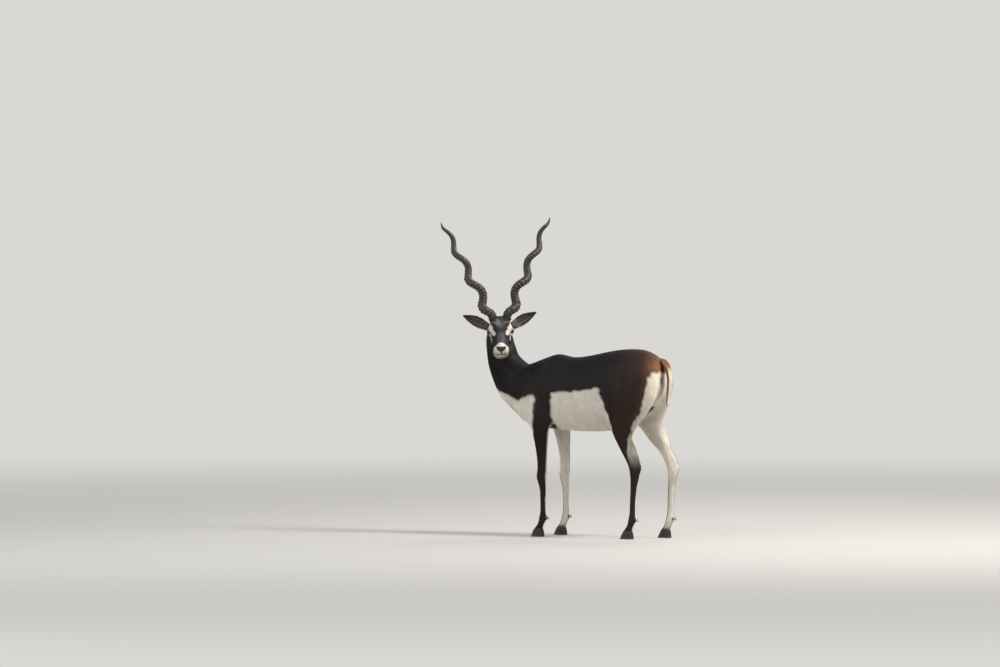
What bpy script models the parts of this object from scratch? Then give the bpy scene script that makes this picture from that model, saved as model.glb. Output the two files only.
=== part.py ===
# Blackbuck, an adult male, standing and looking back over its left shoulder.
# The animal heads towards -X, its left side is towards -Y, and the floor is Z = 0.
# The flesh is one skin, lofted and blended whole, then parted into named pieces by thin cuts.

import math

import bmesh
import bpy
import numpy as np
from mathutils import Matrix, Vector

# Driving sizes, in metres and degrees
GAP = 0.0003
HEAD_TURN = 120.0
HEAD_PITCH = 36.0
HEAD_ROLL = 2.65
POLL = Vector((-0.439, -0.025, 0.961))

# Trunk stations from breast to rump: x, top, bottom, half width, egg
TRUNK = [
    (-0.445, 0.652, 0.612, 0.022, 0.0),
    (-0.425, 0.690, 0.590, 0.048, 0.0),
    (-0.385, 0.715, 0.560, 0.070, 0.0),
    (-0.335, 0.735, 0.524, 0.086, 0.05),
    (-0.270, 0.757, 0.488, 0.097, 0.12),
    (-0.210, 0.779, 0.470, 0.102, 0.18),
    (-0.150, 0.795, 0.463, 0.106, 0.20),
    (-0.080, 0.781, 0.460, 0.112, 0.18),
    (0.000, 0.789, 0.459, 0.118, 0.14),
    (0.080, 0.805, 0.461, 0.120, 0.10),
    (0.150, 0.817, 0.470, 0.115, 0.04),
    (0.210, 0.821, 0.492, 0.108, 0.0),
    (0.265, 0.819, 0.530, 0.100, -0.04),
    (0.315, 0.800, 0.572, 0.086, -0.05),
    (0.345, 0.777, 0.610, 0.066, 0.0),
    (0.362, 0.745, 0.655, 0.036, 0.0),
]

# Neck stations from chest to skull: x, y, z, half depth, half width
NECK = [
    (-0.255, 0.000, 0.600, 0.125, 0.080),
    (-0.316, 0.000, 0.635, 0.112, 0.078),
    (-0.374, 0.000, 0.675, 0.098, 0.073),
    (-0.426, 0.000, 0.745, 0.0755, 0.063),
    (-0.442, -0.002, 0.800, 0.068, 0.057),
    (-0.450, -0.006, 0.855, 0.062, 0.053),
    (-0.450, -0.006, 0.905, 0.050, 0.047),
    (-0.453, -0.004, 0.935, 0.032, 0.033),
]

# Head stations from poll to nose: distance, top, bottom, half width, egg
HEAD = [
    (-0.014, 0.020, 0.062, 0.020, 0.0),
    (-0.006, 0.010, 0.080, 0.033, -0.10),
    (0.012, 0.002, 0.098, 0.042, -0.18),
    (0.040, 0.000, 0.108, 0.049, -0.22),
    (0.068, 0.001, 0.106, 0.0495, -0.24),
    (0.094, 0.003, 0.099, 0.0430, -0.20),
    (0.120, 0.006, 0.090, 0.0360, -0.06),
    (0.146, 0.008, 0.084, 0.0325, 0.06),
    (0.172, 0.008, 0.082, 0.0330, 0.12),
    (0.192, 0.007, 0.079, 0.0320, 0.12),
    (0.208, 0.008, 0.073, 0.0285, 0.06),
    (0.218, 0.012, 0.062, 0.0220, 0.0),
    (0.223, 0.020, 0.049, 0.0118, 0.0),
]

# Foreleg stations from shoulder to coronet: x, z, half depth, half width, distance out
FORELEG = [
    (-0.262, 0.650, 0.062, 0.024, 0.070),
    (-0.250, 0.600, 0.075, 0.033, 0.078),
    (-0.225, 0.545, 0.068, 0.036, 0.084),
    (-0.205, 0.500, 0.053, 0.034, 0.088),
    (-0.196, 0.450, 0.038, 0.029, 0.090),
    (-0.191, 0.390, 0.0285, 0.0235, 0.090),
    (-0.188, 0.330, 0.0225, 0.0200, 0.090),
    (-0.188, 0.290, 0.0215, 0.0205, 0.090),
    (-0.191, 0.262, 0.0225, 0.0215, 0.090),
    (-0.188, 0.235, 0.0185, 0.0180, 0.090),
    (-0.184, 0.205, 0.0145, 0.0140, 0.090),
    (-0.183, 0.150, 0.0128, 0.0120, 0.090),
    (-0.183, 0.108, 0.0135, 0.0128, 0.090),
    (-0.184, 0.082, 0.0175, 0.0160, 0.090),
    (-0.190, 0.062, 0.0160, 0.0155, 0.090),
    (-0.199, 0.046, 0.0150, 0.0160, 0.090),
    (-0.206, 0.034, 0.0175, 0.0180, 0.090),
    (-0.208, 0.024, 0.0165, 0.0170, 0.090),
]

# Hind leg stations from croup to coronet: x, z, half depth, half width, distance out
HINDLEG = [
    (0.245, 0.780, 0.070, 0.030, 0.045),
    (0.258, 0.730, 0.102, 0.048, 0.058),
    (0.260, 0.680, 0.107, 0.056, 0.062),
    (0.256, 0.625, 0.108, 0.058, 0.068),
    (0.243, 0.570, 0.100, 0.053, 0.076),
    (0.226, 0.520, 0.082, 0.045, 0.084),
    (0.215, 0.470, 0.056, 0.036, 0.090),
    (0.224, 0.420, 0.038, 0.027, 0.092),
    (0.243, 0.370, 0.0275, 0.0215, 0.092),
    (0.263, 0.330, 0.0245, 0.0190, 0.092),
    (0.276, 0.300, 0.0265, 0.0195, 0.092),
    (0.276, 0.268, 0.0225, 0.0185, 0.092),
    (0.271, 0.232, 0.0170, 0.0150, 0.092),
    (0.266, 0.160, 0.0142, 0.0128, 0.092),
    (0.264, 0.112, 0.0145, 0.0132, 0.092),
    (0.262, 0.084, 0.0180, 0.0165, 0.092),
    (0.256, 0.063, 0.0162, 0.0158, 0.092),
    (0.247, 0.046, 0.0152, 0.0162, 0.092),
    (0.240, 0.034, 0.0178, 0.0182, 0.092),
    (0.238, 0.024, 0.0168, 0.0172, 0.092),
]
HIND_SWING_TOP = 0.56
HIND_SWING_BOTTOM = 0.40
HIND_SWING_RIGHT = 0.085
FORE_SWING_TOP = 0.60
FORE_SWING_BOTTOM = 0.30
FORE_SWING_RIGHT = 0.012
KNEE_CUT = 0.238
HOCK_CUT = 0.255
FETLOCK_CUT = 0.100
CORONET_HEIGHT = 0.033

# One claw of a hoof
CLAW_LENGTH_SOLE = 0.058
CLAW_LENGTH_TOP = 0.036
CLAW_WIDTH = 0.0178
CLAW_SPLAY = 5.0
CLAW_CLEFT = 0.0022

# Horns: two mirrored corkscrews
HORN_BASE = (0.0384, -0.0053, 0.0295)
HORN_AXIS_LENGTH = 0.506
HORN_OUT = 0.2076
HORN_BACK = -0.160
HORN_UP = 0.4328
HORN_PITCH = 0.1415
HORN_OUTERMOST = 0.066
HORN_WAVE_LOW = 0.0172
HORN_WAVE_HIGH = 0.0095
HORN_RADIUS = [
    (0.0, 0.0190),
    (0.35, 0.0172),
    (0.62, 0.0142),
    (0.82, 0.0108),
    (0.94, 0.0066),
    (1.0, 0.0014),
]
HORN_RINGS = 40
HORN_RINGED_SHARE = 0.87
HORN_RINGS_CLOSING = 0.14
HORN_RING_RISE = 0.0011
HORN_RING_HOLLOW = 0.0010
HORN_TIP_STATIONS = 7
HORN_SIDES = 12

# Ears
EAR_ROOT = (0.0237, 0.0499, 0.0491)
EAR_DIRECTION = (0.878, -0.150, 0.455)
EAR_LENGTH = 0.128
EAR_HALF_WIDTHS = [
    (0.0, 0.0165),
    (0.08, 0.0185),
    (0.34, 0.0255),
    (0.56, 0.0240),
    (0.77, 0.0160),
    (0.92, 0.0075),
    (1.0, 0.0016),
]
EAR_CUP_DEPTH = [(0.0, 0.0125), (0.16, 0.0135), (0.48, 0.0100), (0.8, 0.0045), (1.0, 0.0008)]
EAR_WALL = 0.0026
EAR_STATIONS = 13
EAR_CURVE = 0.006

# Eyes
EYE_CENTRE = (0.0705, 0.0365, 0.0445)
EYE_RADIUS = 0.0140
EYE_DIRECTION = (0.40, 0.90, -0.10)
EYE_LID_DEPTH = 0.0022
EYE_OPENING_LENGTH = 0.0262
EYE_OPENING_HEIGHT = 0.0185
EYE_SLANT = -0.34
EYE_BEHIND = 0.004

# Tail
TAIL = [
    (0.336, 0.781, 0.0150, 0.0150),
    (0.368, 0.765, 0.0145, 0.0165),
    (0.389, 0.735, 0.0125, 0.0175),
    (0.397, 0.700, 0.0115, 0.0180),
    (0.397, 0.660, 0.0100, 0.0175),
    (0.392, 0.620, 0.0080, 0.0150),
    (0.387, 0.590, 0.0050, 0.0100),
    (0.385, 0.572, 0.0015, 0.0025),
]

# Locks of the tail: where they start, how long they are, and their half width and half thickness
TAIL_CORE_SHARE = 0.66
TAIL_LOCKS = 14
TAIL_LOCK_FIRST = 0.30
TAIL_LOCK_LAST = 0.66
TAIL_LOCK_LENGTH = 0.36
TAIL_LOCK_WIDTH = 0.0085
TAIL_LOCK_THICKNESS = 0.0021
TAIL_LOCK_STATIONS = 5
TAIL_SEED = 11

# Triangles left in each piece of flesh after thinning
TRIANGLES = {
    "torso": 2200,
    "neck": 520,
    "head": 2800,
    "upper": 400,
    "cannon": 150,
    "pastern": 190,
}
BODY_VOXEL = 0.0032
HEAD_VOXEL = 0.0018
MARGIN = 0.004

MATERIALS = {
    "black_coat": ((0.012, 0.010, 0.009, 1.0), 0.75),
    "brown_coat": ((0.050, 0.022, 0.010, 1.0), 0.78),
    "grey_coat": ((0.10, 0.085, 0.07, 1.0), 0.80),
    "horn_sheath": ((0.028, 0.020, 0.015, 1.0), 0.45),
    "hoof_horn": ((0.020, 0.016, 0.013, 1.0), 0.40),
    "eye_wet": ((0.010, 0.006, 0.004, 1.0), 0.08),
}


def clear_scene():
    for obj in list(bpy.data.objects):
        bpy.data.objects.remove(obj, do_unlink=True)


def make_material(name):
    colour, roughness = MATERIALS[name]
    material = bpy.data.materials.new(name)
    material.use_nodes = True
    shader = material.node_tree.nodes["Principled BSDF"]
    shader.inputs["Base Color"].default_value = colour
    shader.inputs["Roughness"].default_value = roughness
    shader.inputs["Metallic"].default_value = 0.0
    material.diffuse_color = colour
    return material


def add_object(name, mesh):
    obj = bpy.data.objects.new(name, mesh)
    bpy.context.scene.collection.objects.link(obj)
    return obj


def object_from_bmesh(name, bm):
    mesh = bpy.data.meshes.new(name)
    bm.to_mesh(mesh)
    bm.free()
    return add_object(name, mesh)


def drop(obj):
    bpy.data.objects.remove(obj, do_unlink=True)


def curve_through(stations, count):
    """Rows of the stations, resampled evenly along a Catmull-Rom curve through them."""
    rows = np.array(stations, float)
    ends = np.vstack([2 * rows[0] - rows[1], rows, 2 * rows[-1] - rows[-2]])
    places = np.linspace(0, len(rows) - 1, count)
    result = []
    for place in places:
        k = min(int(place), len(rows) - 2)
        t = place - k
        a, b, c, d = ends[k : k + 4]
        linear = (c - a) * t
        square = (2 * a - 5 * b + 4 * c - d) * t**2
        cubic = (3 * b - a - 3 * c + d) * t**3
        result.append((2 * b + linear + square + cubic) / 2)
    return np.array(result)


def profile(points, place):
    """Value at this place along a list of (place, value) pairs."""
    return float(np.interp(place, [p[0] for p in points], [p[1] for p in points]))


def smoothstep(low, high, value):
    t = min(max((value - low) / (high - low), 0.0), 1.0)
    return t * t * (3 - 2 * t)


def loft(name, rings):
    """A closed skin over rings of equal point counts, with a fan of faces at each end."""
    bm = bmesh.new()
    rows = [[bm.verts.new(point) for point in ring] for ring in rings]
    count = len(rows[0])
    for lower, upper in zip(rows, rows[1:]):
        for i in range(count):
            j = (i + 1) % count
            bm.faces.new((lower[i], lower[j], upper[j], upper[i]))
    bm.faces.new(list(reversed(rows[0])))
    bm.faces.new(rows[-1])
    bmesh.ops.recalc_face_normals(bm, faces=bm.faces)
    return object_from_bmesh(name, bm)


def oval(centre, across, along, half_across, half_along, sides=20, egg=0.0, power=1.0):
    """Points round an oval; egg makes it wider towards -along, power squares it a little."""
    centre, across, along = Vector(centre), Vector(across), Vector(along)
    points = []
    for k in range(sides):
        angle = 2 * math.pi * k / sides
        c, s = math.cos(angle), math.sin(angle)
        c = math.copysign(abs(c) ** power, c)
        s = math.copysign(abs(s) ** power, s)
        points.append(centre + across * half_across * c * (1 - egg * s) + along * half_along * s)
    return points


def head_axes():
    """Unit vectors of the head: forward along the face, to its left, and down, plus the level ones."""
    turn = math.radians(180.0 + HEAD_TURN)
    towards = Vector((math.cos(turn), math.sin(turn), 0.0))
    left = Vector((-towards.y, towards.x, 0.0))
    up = Vector((0.0, 0.0, 1.0))
    pitch = math.radians(HEAD_PITCH)
    forward = towards * math.cos(pitch) - up * math.sin(pitch)
    down = -towards * math.sin(pitch) - up * math.cos(pitch)
    roll = Matrix.Rotation(math.radians(HEAD_ROLL), 3, towards)
    return [roll @ v for v in (forward, left, down, towards, up)]


FORWARD, LEFT, DOWN, LEVEL_FORWARD, LEVEL_UP = head_axes()


def on_head(distance, depth, out):
    """World place of a point given along the face, down from it, and out to the head's left."""
    return POLL + FORWARD * distance + DOWN * depth + LEFT * out


def head_direction(forward, out, down):
    return (FORWARD * forward + LEFT * out + DOWN * down).normalized()


def level_direction(out, forward, up):
    return (LEFT * out + LEVEL_FORWARD * forward + LEVEL_UP * up).normalized()


def make_trunk():
    rings = []
    for x, top, bottom, half, egg in curve_through(TRUNK, 44):
        centre = (x, 0.0, (top + bottom) / 2)
        rings.append(oval(centre, (0, 1, 0), (0, 0, 1), half, (top - bottom) / 2, 28, egg, 0.92))
    return loft("trunk_form", rings)


def make_neck():
    rows = curve_through(NECK, 22)
    rings = []
    for k, row in enumerate(rows):
        before = Vector(rows[max(k - 1, 0)][:3])
        after = Vector(rows[min(k + 1, len(rows) - 1)][:3])
        tangent = (after - before).normalized()
        across = Vector((0.0, 1.0, 0.0))
        across = (across - tangent * across.dot(tangent)).normalized()
        along = tangent.cross(across)
        rings.append(oval(row[:3], across, along, row[4], row[3], 24))
    return loft("neck_form", rings)


def make_head():
    rings = []
    for distance, top, bottom, half, egg in curve_through(HEAD, 34):
        centre = on_head(distance, (top + bottom) / 2, 0.0)
        rings.append(oval(centre, LEFT, -DOWN, half, (bottom - top) / 2, 28, egg, 0.9))
    return loft("head_form", rings)


def muscle(name, start, end, width, depth, flat_axis):
    """A spindle between two points; width is across flat_axis, depth along it."""
    start, end = Vector(start), Vector(end)
    tangent = (end - start).normalized()
    thin = Vector(flat_axis)
    thin = (thin - tangent * thin.dot(tangent)).normalized()
    wide = tangent.cross(thin)
    rings = []
    stations = 11
    for k in range(stations):
        angle = math.pi * (k + 0.35) / (stations - 0.3)
        middle = (start + end) / 2 - tangent * (end - start).length / 2 * math.cos(angle)
        rings.append(oval(middle, wide, thin, width * math.sin(angle), depth * math.sin(angle), 14))
    return loft(name, rings)


def swing(side, fore, z):
    """How far a leg is moved along X at this height: the right legs stand further back."""
    if side < 0:
        return 0.0
    if fore:
        return FORE_SWING_RIGHT * smoothstep(FORE_SWING_TOP, FORE_SWING_BOTTOM, z)
    return HIND_SWING_RIGHT * smoothstep(HIND_SWING_TOP, HIND_SWING_BOTTOM, z)


def make_leg(name, stations, side, fore):
    rings = []
    for x, z, depth, width, out in curve_through(stations, 52):
        centre = (x + swing(side, fore, z), side * out, z)
        rings.append(oval(centre, (1, 0, 0), (0, 1, 0), depth, width, 18))
    return loft(name, rings)


# Masses that show under the coat of one side: start and end as (x, distance out, z), width, depth
FORE_MASSES = {
    "shoulder_blade": ((-0.160, 0.046, 0.768), (-0.290, 0.082, 0.560), 0.064, 0.028),
    "upper_arm": ((-0.320, 0.074, 0.590), (-0.170, 0.088, 0.490), 0.050, 0.032),
    "triceps": ((-0.150, 0.076, 0.680), (-0.192, 0.090, 0.450), 0.050, 0.027),
    "dewclaw_inner": ((-0.168, 0.0835, 0.089), (-0.150, 0.0800, 0.071), 0.0070, 0.0066),
    "dewclaw_outer": ((-0.168, 0.0965, 0.089), (-0.150, 0.1000, 0.071), 0.0070, 0.0066),
}
HIND_MASSES = {
    "buttock": ((0.332, 0.048, 0.765), (0.281, 0.079, 0.525), 0.048, 0.040),
    "thigh_front": ((0.205, 0.080, 0.720), (0.165, 0.092, 0.500), 0.055, 0.042),
    "gaskin": ((0.185, 0.092, 0.530), (0.262, 0.094, 0.360), 0.034, 0.026),
    "hock_tendon": ((0.240, 0.092, 0.470), (0.309, 0.092, 0.292), 0.0140, 0.0115),
    "dewclaw_inner": ((0.279, 0.0855, 0.090), (0.297, 0.0820, 0.072), 0.0070, 0.0066),
    "dewclaw_outer": ((0.279, 0.0985, 0.090), (0.297, 0.1020, 0.072), 0.0070, 0.0066),
}


def make_muscles(side):
    made = []
    for fore, masses in ((True, FORE_MASSES), (False, HIND_MASSES)):
        for name, (start, end, width, depth) in masses.items():
            ends = [(x + swing(side, fore, z), side * out, z) for x, out, z in (start, end)]
            made.append(muscle(name, ends[0], ends[1], width, depth, (0, side, 0)))
    return made


# Masses of one side of the head: start and end as (distance, depth, out), width, depth
HEAD_MASSES = {
    "brow": ((0.048, 0.014, 0.043), (0.096, 0.027, 0.037), 0.0110, 0.0095),
    "cheek": ((0.030, 0.080, 0.032), (0.120, 0.060, 0.027), 0.0240, 0.0140),
    "upper_lip": ((0.150, 0.052, 0.023), (0.218, 0.044, 0.011), 0.0125, 0.0120),
}
PEDICLE = (0.050, 0.030, 0.0200)
EAR_STUMP = (0.055, 0.028, 0.0195)
ORBIT = (0.030, 0.0225, 0.0205)


def head_masses():
    """Stumps under horns and ears, the orbits, brows, cheeks and lips."""
    made = []
    for side in (-1, 1):
        base, axis = horn_base(side), horn_axis(side)
        under, over, radius = PEDICLE
        made.append(muscle("pedicle", base - axis * under, base + axis * over, radius, radius, LEFT))
        root, direction = ear_root(side), ear_axis(side)
        under, over, radius = EAR_STUMP
        start, end = root - direction * under, root + direction * over
        made.append(muscle("ear_stump", start, end, radius, radius, LEVEL_FORWARD))
        eye, out, _, across = eye_frame(side)
        under, length, height = ORBIT
        reach = EYE_RADIUS + EYE_LID_DEPTH
        made.append(muscle("orbit", eye - out * under, eye + out * reach, length, height, across))
        for name, (start, end, width, depth) in HEAD_MASSES.items():
            ends = [on_head(distance, down, side * away) for distance, down, away in (start, end)]
            made.append(muscle(name, ends[0], ends[1], width, depth, LEFT))
    return made


def horn_base(side):
    return on_head(HORN_BASE[0], HORN_BASE[1], side * HORN_BASE[2])


def horn_axis(side):
    return level_direction(side * HORN_OUT, HORN_BACK, HORN_UP)


def ear_root(side):
    return on_head(EAR_ROOT[0], EAR_ROOT[1], side * EAR_ROOT[2])


def ear_axis(side):
    return level_direction(side * EAR_DIRECTION[0], EAR_DIRECTION[1], EAR_DIRECTION[2])


def eye_axis(side):
    return head_direction(EYE_DIRECTION[0], side * EYE_DIRECTION[1], EYE_DIRECTION[2])


def joined(name, objects):
    """One object that holds the meshes of all of these, which are then removed."""
    bm = bmesh.new()
    for obj in objects:
        bm.from_mesh(obj.data)
    for obj in objects:
        drop(obj)
    return object_from_bmesh(name, bm)


def with_modifiers_applied(obj):
    graph = bpy.context.evaluated_depsgraph_get()
    mesh = bpy.data.meshes.new_from_object(obj.evaluated_get(graph))
    obj.modifiers.clear()
    obj.data = mesh
    return obj


def remeshed(obj, voxel):
    modifier = obj.modifiers.new("voxels", "REMESH")
    modifier.mode = "VOXEL"
    modifier.voxel_size = voxel
    return with_modifiers_applied(obj)


def points_of(obj):
    flat = np.empty(len(obj.data.vertices) * 3, np.float32)
    obj.data.vertices.foreach_get("co", flat)
    return flat.reshape(-1, 3).astype(float)


def set_points(obj, points):
    obj.data.vertices.foreach_set("co", points.astype(np.float32).ravel())
    obj.data.update()


def relaxed(obj, rounds, share_of):
    """Moves each point towards the middle of its neighbours; share_of gives how much, point by point."""
    points = points_of(obj)
    edges = np.empty(len(obj.data.edges) * 2, np.int32)
    obj.data.edges.foreach_get("vertices", edges)
    edges = edges.reshape(-1, 2)
    ends = np.concatenate([edges[:, 0], edges[:, 1]])
    others = np.concatenate([edges[:, 1], edges[:, 0]])
    count = np.bincount(ends, minlength=len(points))[:, None]
    shares = share_of(points)[:, None]
    for _ in range(rounds):
        columns = [np.bincount(ends, points[others, k], len(points)) for k in range(3)]
        sums = np.stack(columns, axis=1)
        points = points + (sums / count - points) * shares
    set_points(obj, points)
    return obj


def body_share(points):
    """The trunk, with its thick masses, is blended more than the thin legs and the head."""
    height = points[:, 2]
    on_trunk = np.clip((height - 0.42) / 0.10, 0, 1)
    towards_head = np.array(LEVEL_FORWARD)
    ahead = (points - np.array(POLL)) @ towards_head
    near_head = (height > 0.74) & (points[:, 0] < -0.25) & (ahead > -0.02)
    return np.where(near_head, 0.12, 0.10 + 0.45 * on_trunk)


def head_share(points):
    return np.full(len(points), 0.35)


def make_body_skin():
    forms = [make_trunk(), make_neck(), make_head()]
    for side, suffix in ((-1, "left"), (1, "right")):
        forms.append(make_leg("foreleg_form_" + suffix, FORELEG, side, True))
        forms.append(make_leg("hindleg_form_" + suffix, HINDLEG, side, False))
        forms += make_muscles(side)
    forms += head_masses()
    return relaxed(remeshed(joined("body_skin", forms), BODY_VOXEL), 24, body_share)


def make_head_skin():
    forms = [make_neck(), make_head()] + head_masses()
    skin = relaxed(remeshed(joined("head_skin", forms), HEAD_VOXEL), 10, head_share)
    carve_face(skin)
    return skin


def distance_to_line(points, line):
    """Least distance from each point to a polyline."""
    best = np.full(len(points), np.inf)
    for a, b in zip(line, line[1:]):
        a, b = np.array(a), np.array(b)
        along = b - a
        t = np.clip((points - a) @ along / (along @ along), 0, 1)
        best = np.minimum(best, np.linalg.norm(points - a - t[:, None] * along, axis=1))
    return best


def pressed(points, normals, line, width, depth):
    """Points pushed in along their normals beside a line; a negative depth raises a fold."""
    near = np.exp(-((distance_to_line(points, line) / width) ** 2))
    return points - normals * (near * depth)[:, None]


# Lines on one side of the face as (distance, depth, out), each with the width and depth of its groove
MOUTH = [
    (0.2235, 0.0465, 0.0),
    (0.2165, 0.0485, 0.0145),
    (0.2000, 0.0520, 0.0255),
    (0.1780, 0.0565, 0.0320),
    (0.1480, 0.0625, 0.0335),
]
MOUTH_GROOVE = (0.0027, 0.0048)
NOSTRIL = [(0.2190, 0.0245, 0.0110), (0.2140, 0.0180, 0.0170), (0.2040, 0.0155, 0.0215)]
NOSTRIL_GROOVE = (0.0037, 0.0064)
NOSTRIL_WING = [(0.2150, 0.0315, 0.0155), (0.2080, 0.0250, 0.0235), (0.1990, 0.0205, 0.0262)]
NOSTRIL_FOLD = (0.0032, -0.0012)
GLAND = [(0.0980, 0.0300, 0.0400), (0.1070, 0.0400, 0.0395), (0.1140, 0.0490, 0.0375)]
GLAND_GROOVE = (0.0030, 0.0036)
CLEFT = [(0.2225, 0.0300, 0.0), (0.2225, 0.0450, 0.0)]
CLEFT_GROOVE = (0.0018, 0.0018)
FACE_LINES = [
    (MOUTH, MOUTH_GROOVE),
    (NOSTRIL, NOSTRIL_GROOVE),
    (NOSTRIL_WING, NOSTRIL_FOLD),
    (GLAND, GLAND_GROOVE),
    (CLEFT, CLEFT_GROOVE),
]


def carve_face(skin):
    """Mouth, nostrils, the cleft of the lip and the slit of the gland before each eye."""
    points = points_of(skin)
    flat = np.empty(len(points) * 3, np.float32)
    skin.data.vertices.foreach_get("normal", flat)
    normals = flat.reshape(-1, 3).astype(float)
    for side in (-1, 1):
        for stations, (width, depth) in FACE_LINES:
            line = [on_head(distance, down, side * out) for distance, down, out in stations]
            share = 0.5 if stations is CLEFT else 1.0
            points = pressed(points, normals, line, width, depth * share)
    set_points(skin, points)


def copy_of(obj, name):
    duplicate = add_object(name, obj.data.copy())
    return duplicate


def cut_by(obj, planes, shift):
    """Keeps what lies on the normal's side of every plane, moved along its normal by shift."""
    bm = bmesh.new()
    bm.from_mesh(obj.data)
    for point, normal in planes:
        normal = Vector(normal).normalized()
        geometry = bm.verts[:] + bm.edges[:] + bm.faces[:]
        cut = bmesh.ops.bisect_plane(
            bm,
            geom=geometry,
            dist=1e-7,
            plane_co=Vector(point) + normal * shift,
            plane_no=normal,
            clear_inner=True,
        )
        rim = [item for item in cut["geom_cut"] if isinstance(item, bmesh.types.BMEdge)]
        if rim:
            bmesh.ops.holes_fill(bm, edges=rim, sides=0)
    bmesh.ops.triangulate(bm, faces=bm.faces[:])
    bm.to_mesh(obj.data)
    bm.free()
    return obj


def block(name, planes, centre, size, shift):
    """A convex cutter: a cube trimmed by the planes, each moved along its normal by shift."""
    bm = bmesh.new()
    bmesh.ops.create_cube(bm, size=size, matrix=Matrix.Translation(centre))
    cutter = object_from_bmesh(name, bm)
    cut_by(cutter, planes, shift)
    cutter.hide_render = True
    cutter.display_type = "WIRE"
    return cutter


def boolean(obj, operation, cutter, solver="EXACT"):
    modifier = obj.modifiers.new(operation.lower(), "BOOLEAN")
    modifier.operation = operation
    modifier.object = cutter
    modifier.solver = solver
    with_modifiers_applied(obj)
    return obj


def triangle_count(obj):
    return sum(len(polygon.vertices) - 2 for polygon in obj.data.polygons)


def thinned(obj, target):
    modifier = obj.modifiers.new("thin", "DECIMATE")
    modifier.ratio = min(1.0, target / triangle_count(obj))
    return with_modifiers_applied(obj)


def largest_shell(obj):
    """Drops every closed surface but the largest."""
    bm = bmesh.new()
    bm.from_mesh(obj.data)
    bm.verts.ensure_lookup_table()
    seen = set()
    shells = []
    for start in bm.verts:
        if start in seen:
            continue
        shell = []
        waiting = [start]
        seen.add(start)
        while waiting:
            vert = waiting.pop()
            shell.append(vert)
            for edge in vert.link_edges:
                other = edge.other_vert(vert)
                if other not in seen:
                    seen.add(other)
                    waiting.append(other)
        shells.append(shell)
    shells.sort(key=len)
    for shell in shells[:-1]:
        bmesh.ops.delete(bm, geom=shell, context="VERTS")
    bmesh.ops.triangulate(bm, faces=bm.faces[:])
    bm.to_mesh(obj.data)
    bm.free()
    return obj


def finish(obj, material):
    obj.data.materials.clear()
    obj.data.materials.append(material)
    obj.data.polygons.foreach_set("use_smooth", [True] * len(obj.data.polygons))
    obj.data.set_sharp_from_angle(angle=math.radians(50))
    return obj


# Planes that part the flesh: a point, and a normal towards the piece that grows out
NECK_PLANE = ((-0.385, 0.0, 0.705), (-0.52, 0.0, 0.854))


def head_planes():
    behind = (on_head(0.006, 0.062, 0.0), LEVEL_FORWARD * 0.98 + LEVEL_UP * 0.20)
    below = (on_head(0.060, 0.1165, 0.0), -DOWN)
    return [behind, below]


def leg_planes(side, fore):
    if fore:
        inner = ((0.0, side * 0.030, 0.0), (0.0, side, 0.0))
        top = ((0.0, side * 0.050, 0.452), (0.0, side * 0.72, -0.72))
        front = ((-0.300, 0.0, 0.0), (1.0, 0.0, 0.0))
        back = ((-0.105, 0.0, 0.0), (-1.0, 0.0, 0.0))
    else:
        shift = swing(side, False, 0.50)
        inner = ((0.0, side * 0.014, 0.0), (0.0, side, 0.0))
        top = ((0.0, side * 0.050, 0.505), (0.0, side * 0.50, -0.80))
        front = ((0.128 + shift * 0.6, 0.0, 0.50), (0.97, 0.0, -0.24))
        back = ((0.50, 0.0, 0.0), (-1.0, 0.0, 0.0))
    return [inner, top, front, back]


def part_torso(skin):
    torso = copy_of(skin, "torso")
    point, normal = NECK_PLANE
    below = [(point, -Vector(normal))]
    cut_by(torso, below, -MARGIN)
    cut_by(torso, [((0, 0, 0.36), (0, 0, 1))], 0.0)
    thinned(torso, TRIANGLES["torso"])
    for side in (-1, 1):
        for fore in (True, False):
            centre = (-0.19 if fore else 0.30, side * 0.25, 0.35)
            cutter = block("leg_cutter", leg_planes(side, fore), centre, 0.9, -GAP / 2)
            boolean(torso, "DIFFERENCE", cutter)
            drop(cutter)
    largest_shell(torso)
    cut_by(torso, below, GAP / 2)
    return torso


def part_neck(skin):
    neck = copy_of(skin, "neck")
    cut_by(neck, [NECK_PLANE], -MARGIN)
    rough = block("head_cutter", head_planes(), POLL, 0.6, MARGIN)
    boolean(neck, "DIFFERENCE", rough)
    drop(rough)
    largest_shell(neck)
    thinned(neck, TRIANGLES["neck"])
    exact = block("head_cutter", head_planes(), POLL, 0.6, -GAP / 2)
    boolean(neck, "DIFFERENCE", exact)
    drop(exact)
    largest_shell(neck)
    cut_by(neck, [NECK_PLANE], GAP / 2)
    return neck


def part_head(skin):
    head = copy_of(skin, "head")
    rough = block("head_bounds", head_planes(), POLL, 0.6, -MARGIN)
    boolean(head, "INTERSECT", rough, "MANIFOLD")
    drop(rough)
    largest_shell(head)
    thinned(head, TRIANGLES["head"])
    exact = block("head_bounds", head_planes(), POLL, 0.6, GAP / 2)
    boolean(head, "INTERSECT", exact, "MANIFOLD")
    drop(exact)
    for side in (-1, 1):
        for cutter in (horn_seat(side), ear_seat(side), eye_socket(side)):
            boolean(head, "DIFFERENCE", cutter, "MANIFOLD")
            drop(cutter)
    return largest_shell(head)


def seat_cutter(name, base, axis, radius, height):
    """A drum that trims a stump flat, just under the piece that stands on it."""
    across = axis.cross(Vector((0.0, 0.0, 1.0))).normalized()
    along = axis.cross(across)
    start = base - axis * GAP
    rings = [oval(start + axis * height * k, across, along, radius, radius, 20) for k in (0, 1)]
    return loft(name, rings)


def horn_seat(side):
    return seat_cutter("horn_seat", horn_base(side), horn_axis(side), 0.025, 0.045)


def ear_seat(side):
    return seat_cutter("ear_seat", ear_root(side), ear_axis(side), 0.0215, 0.030)


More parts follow.
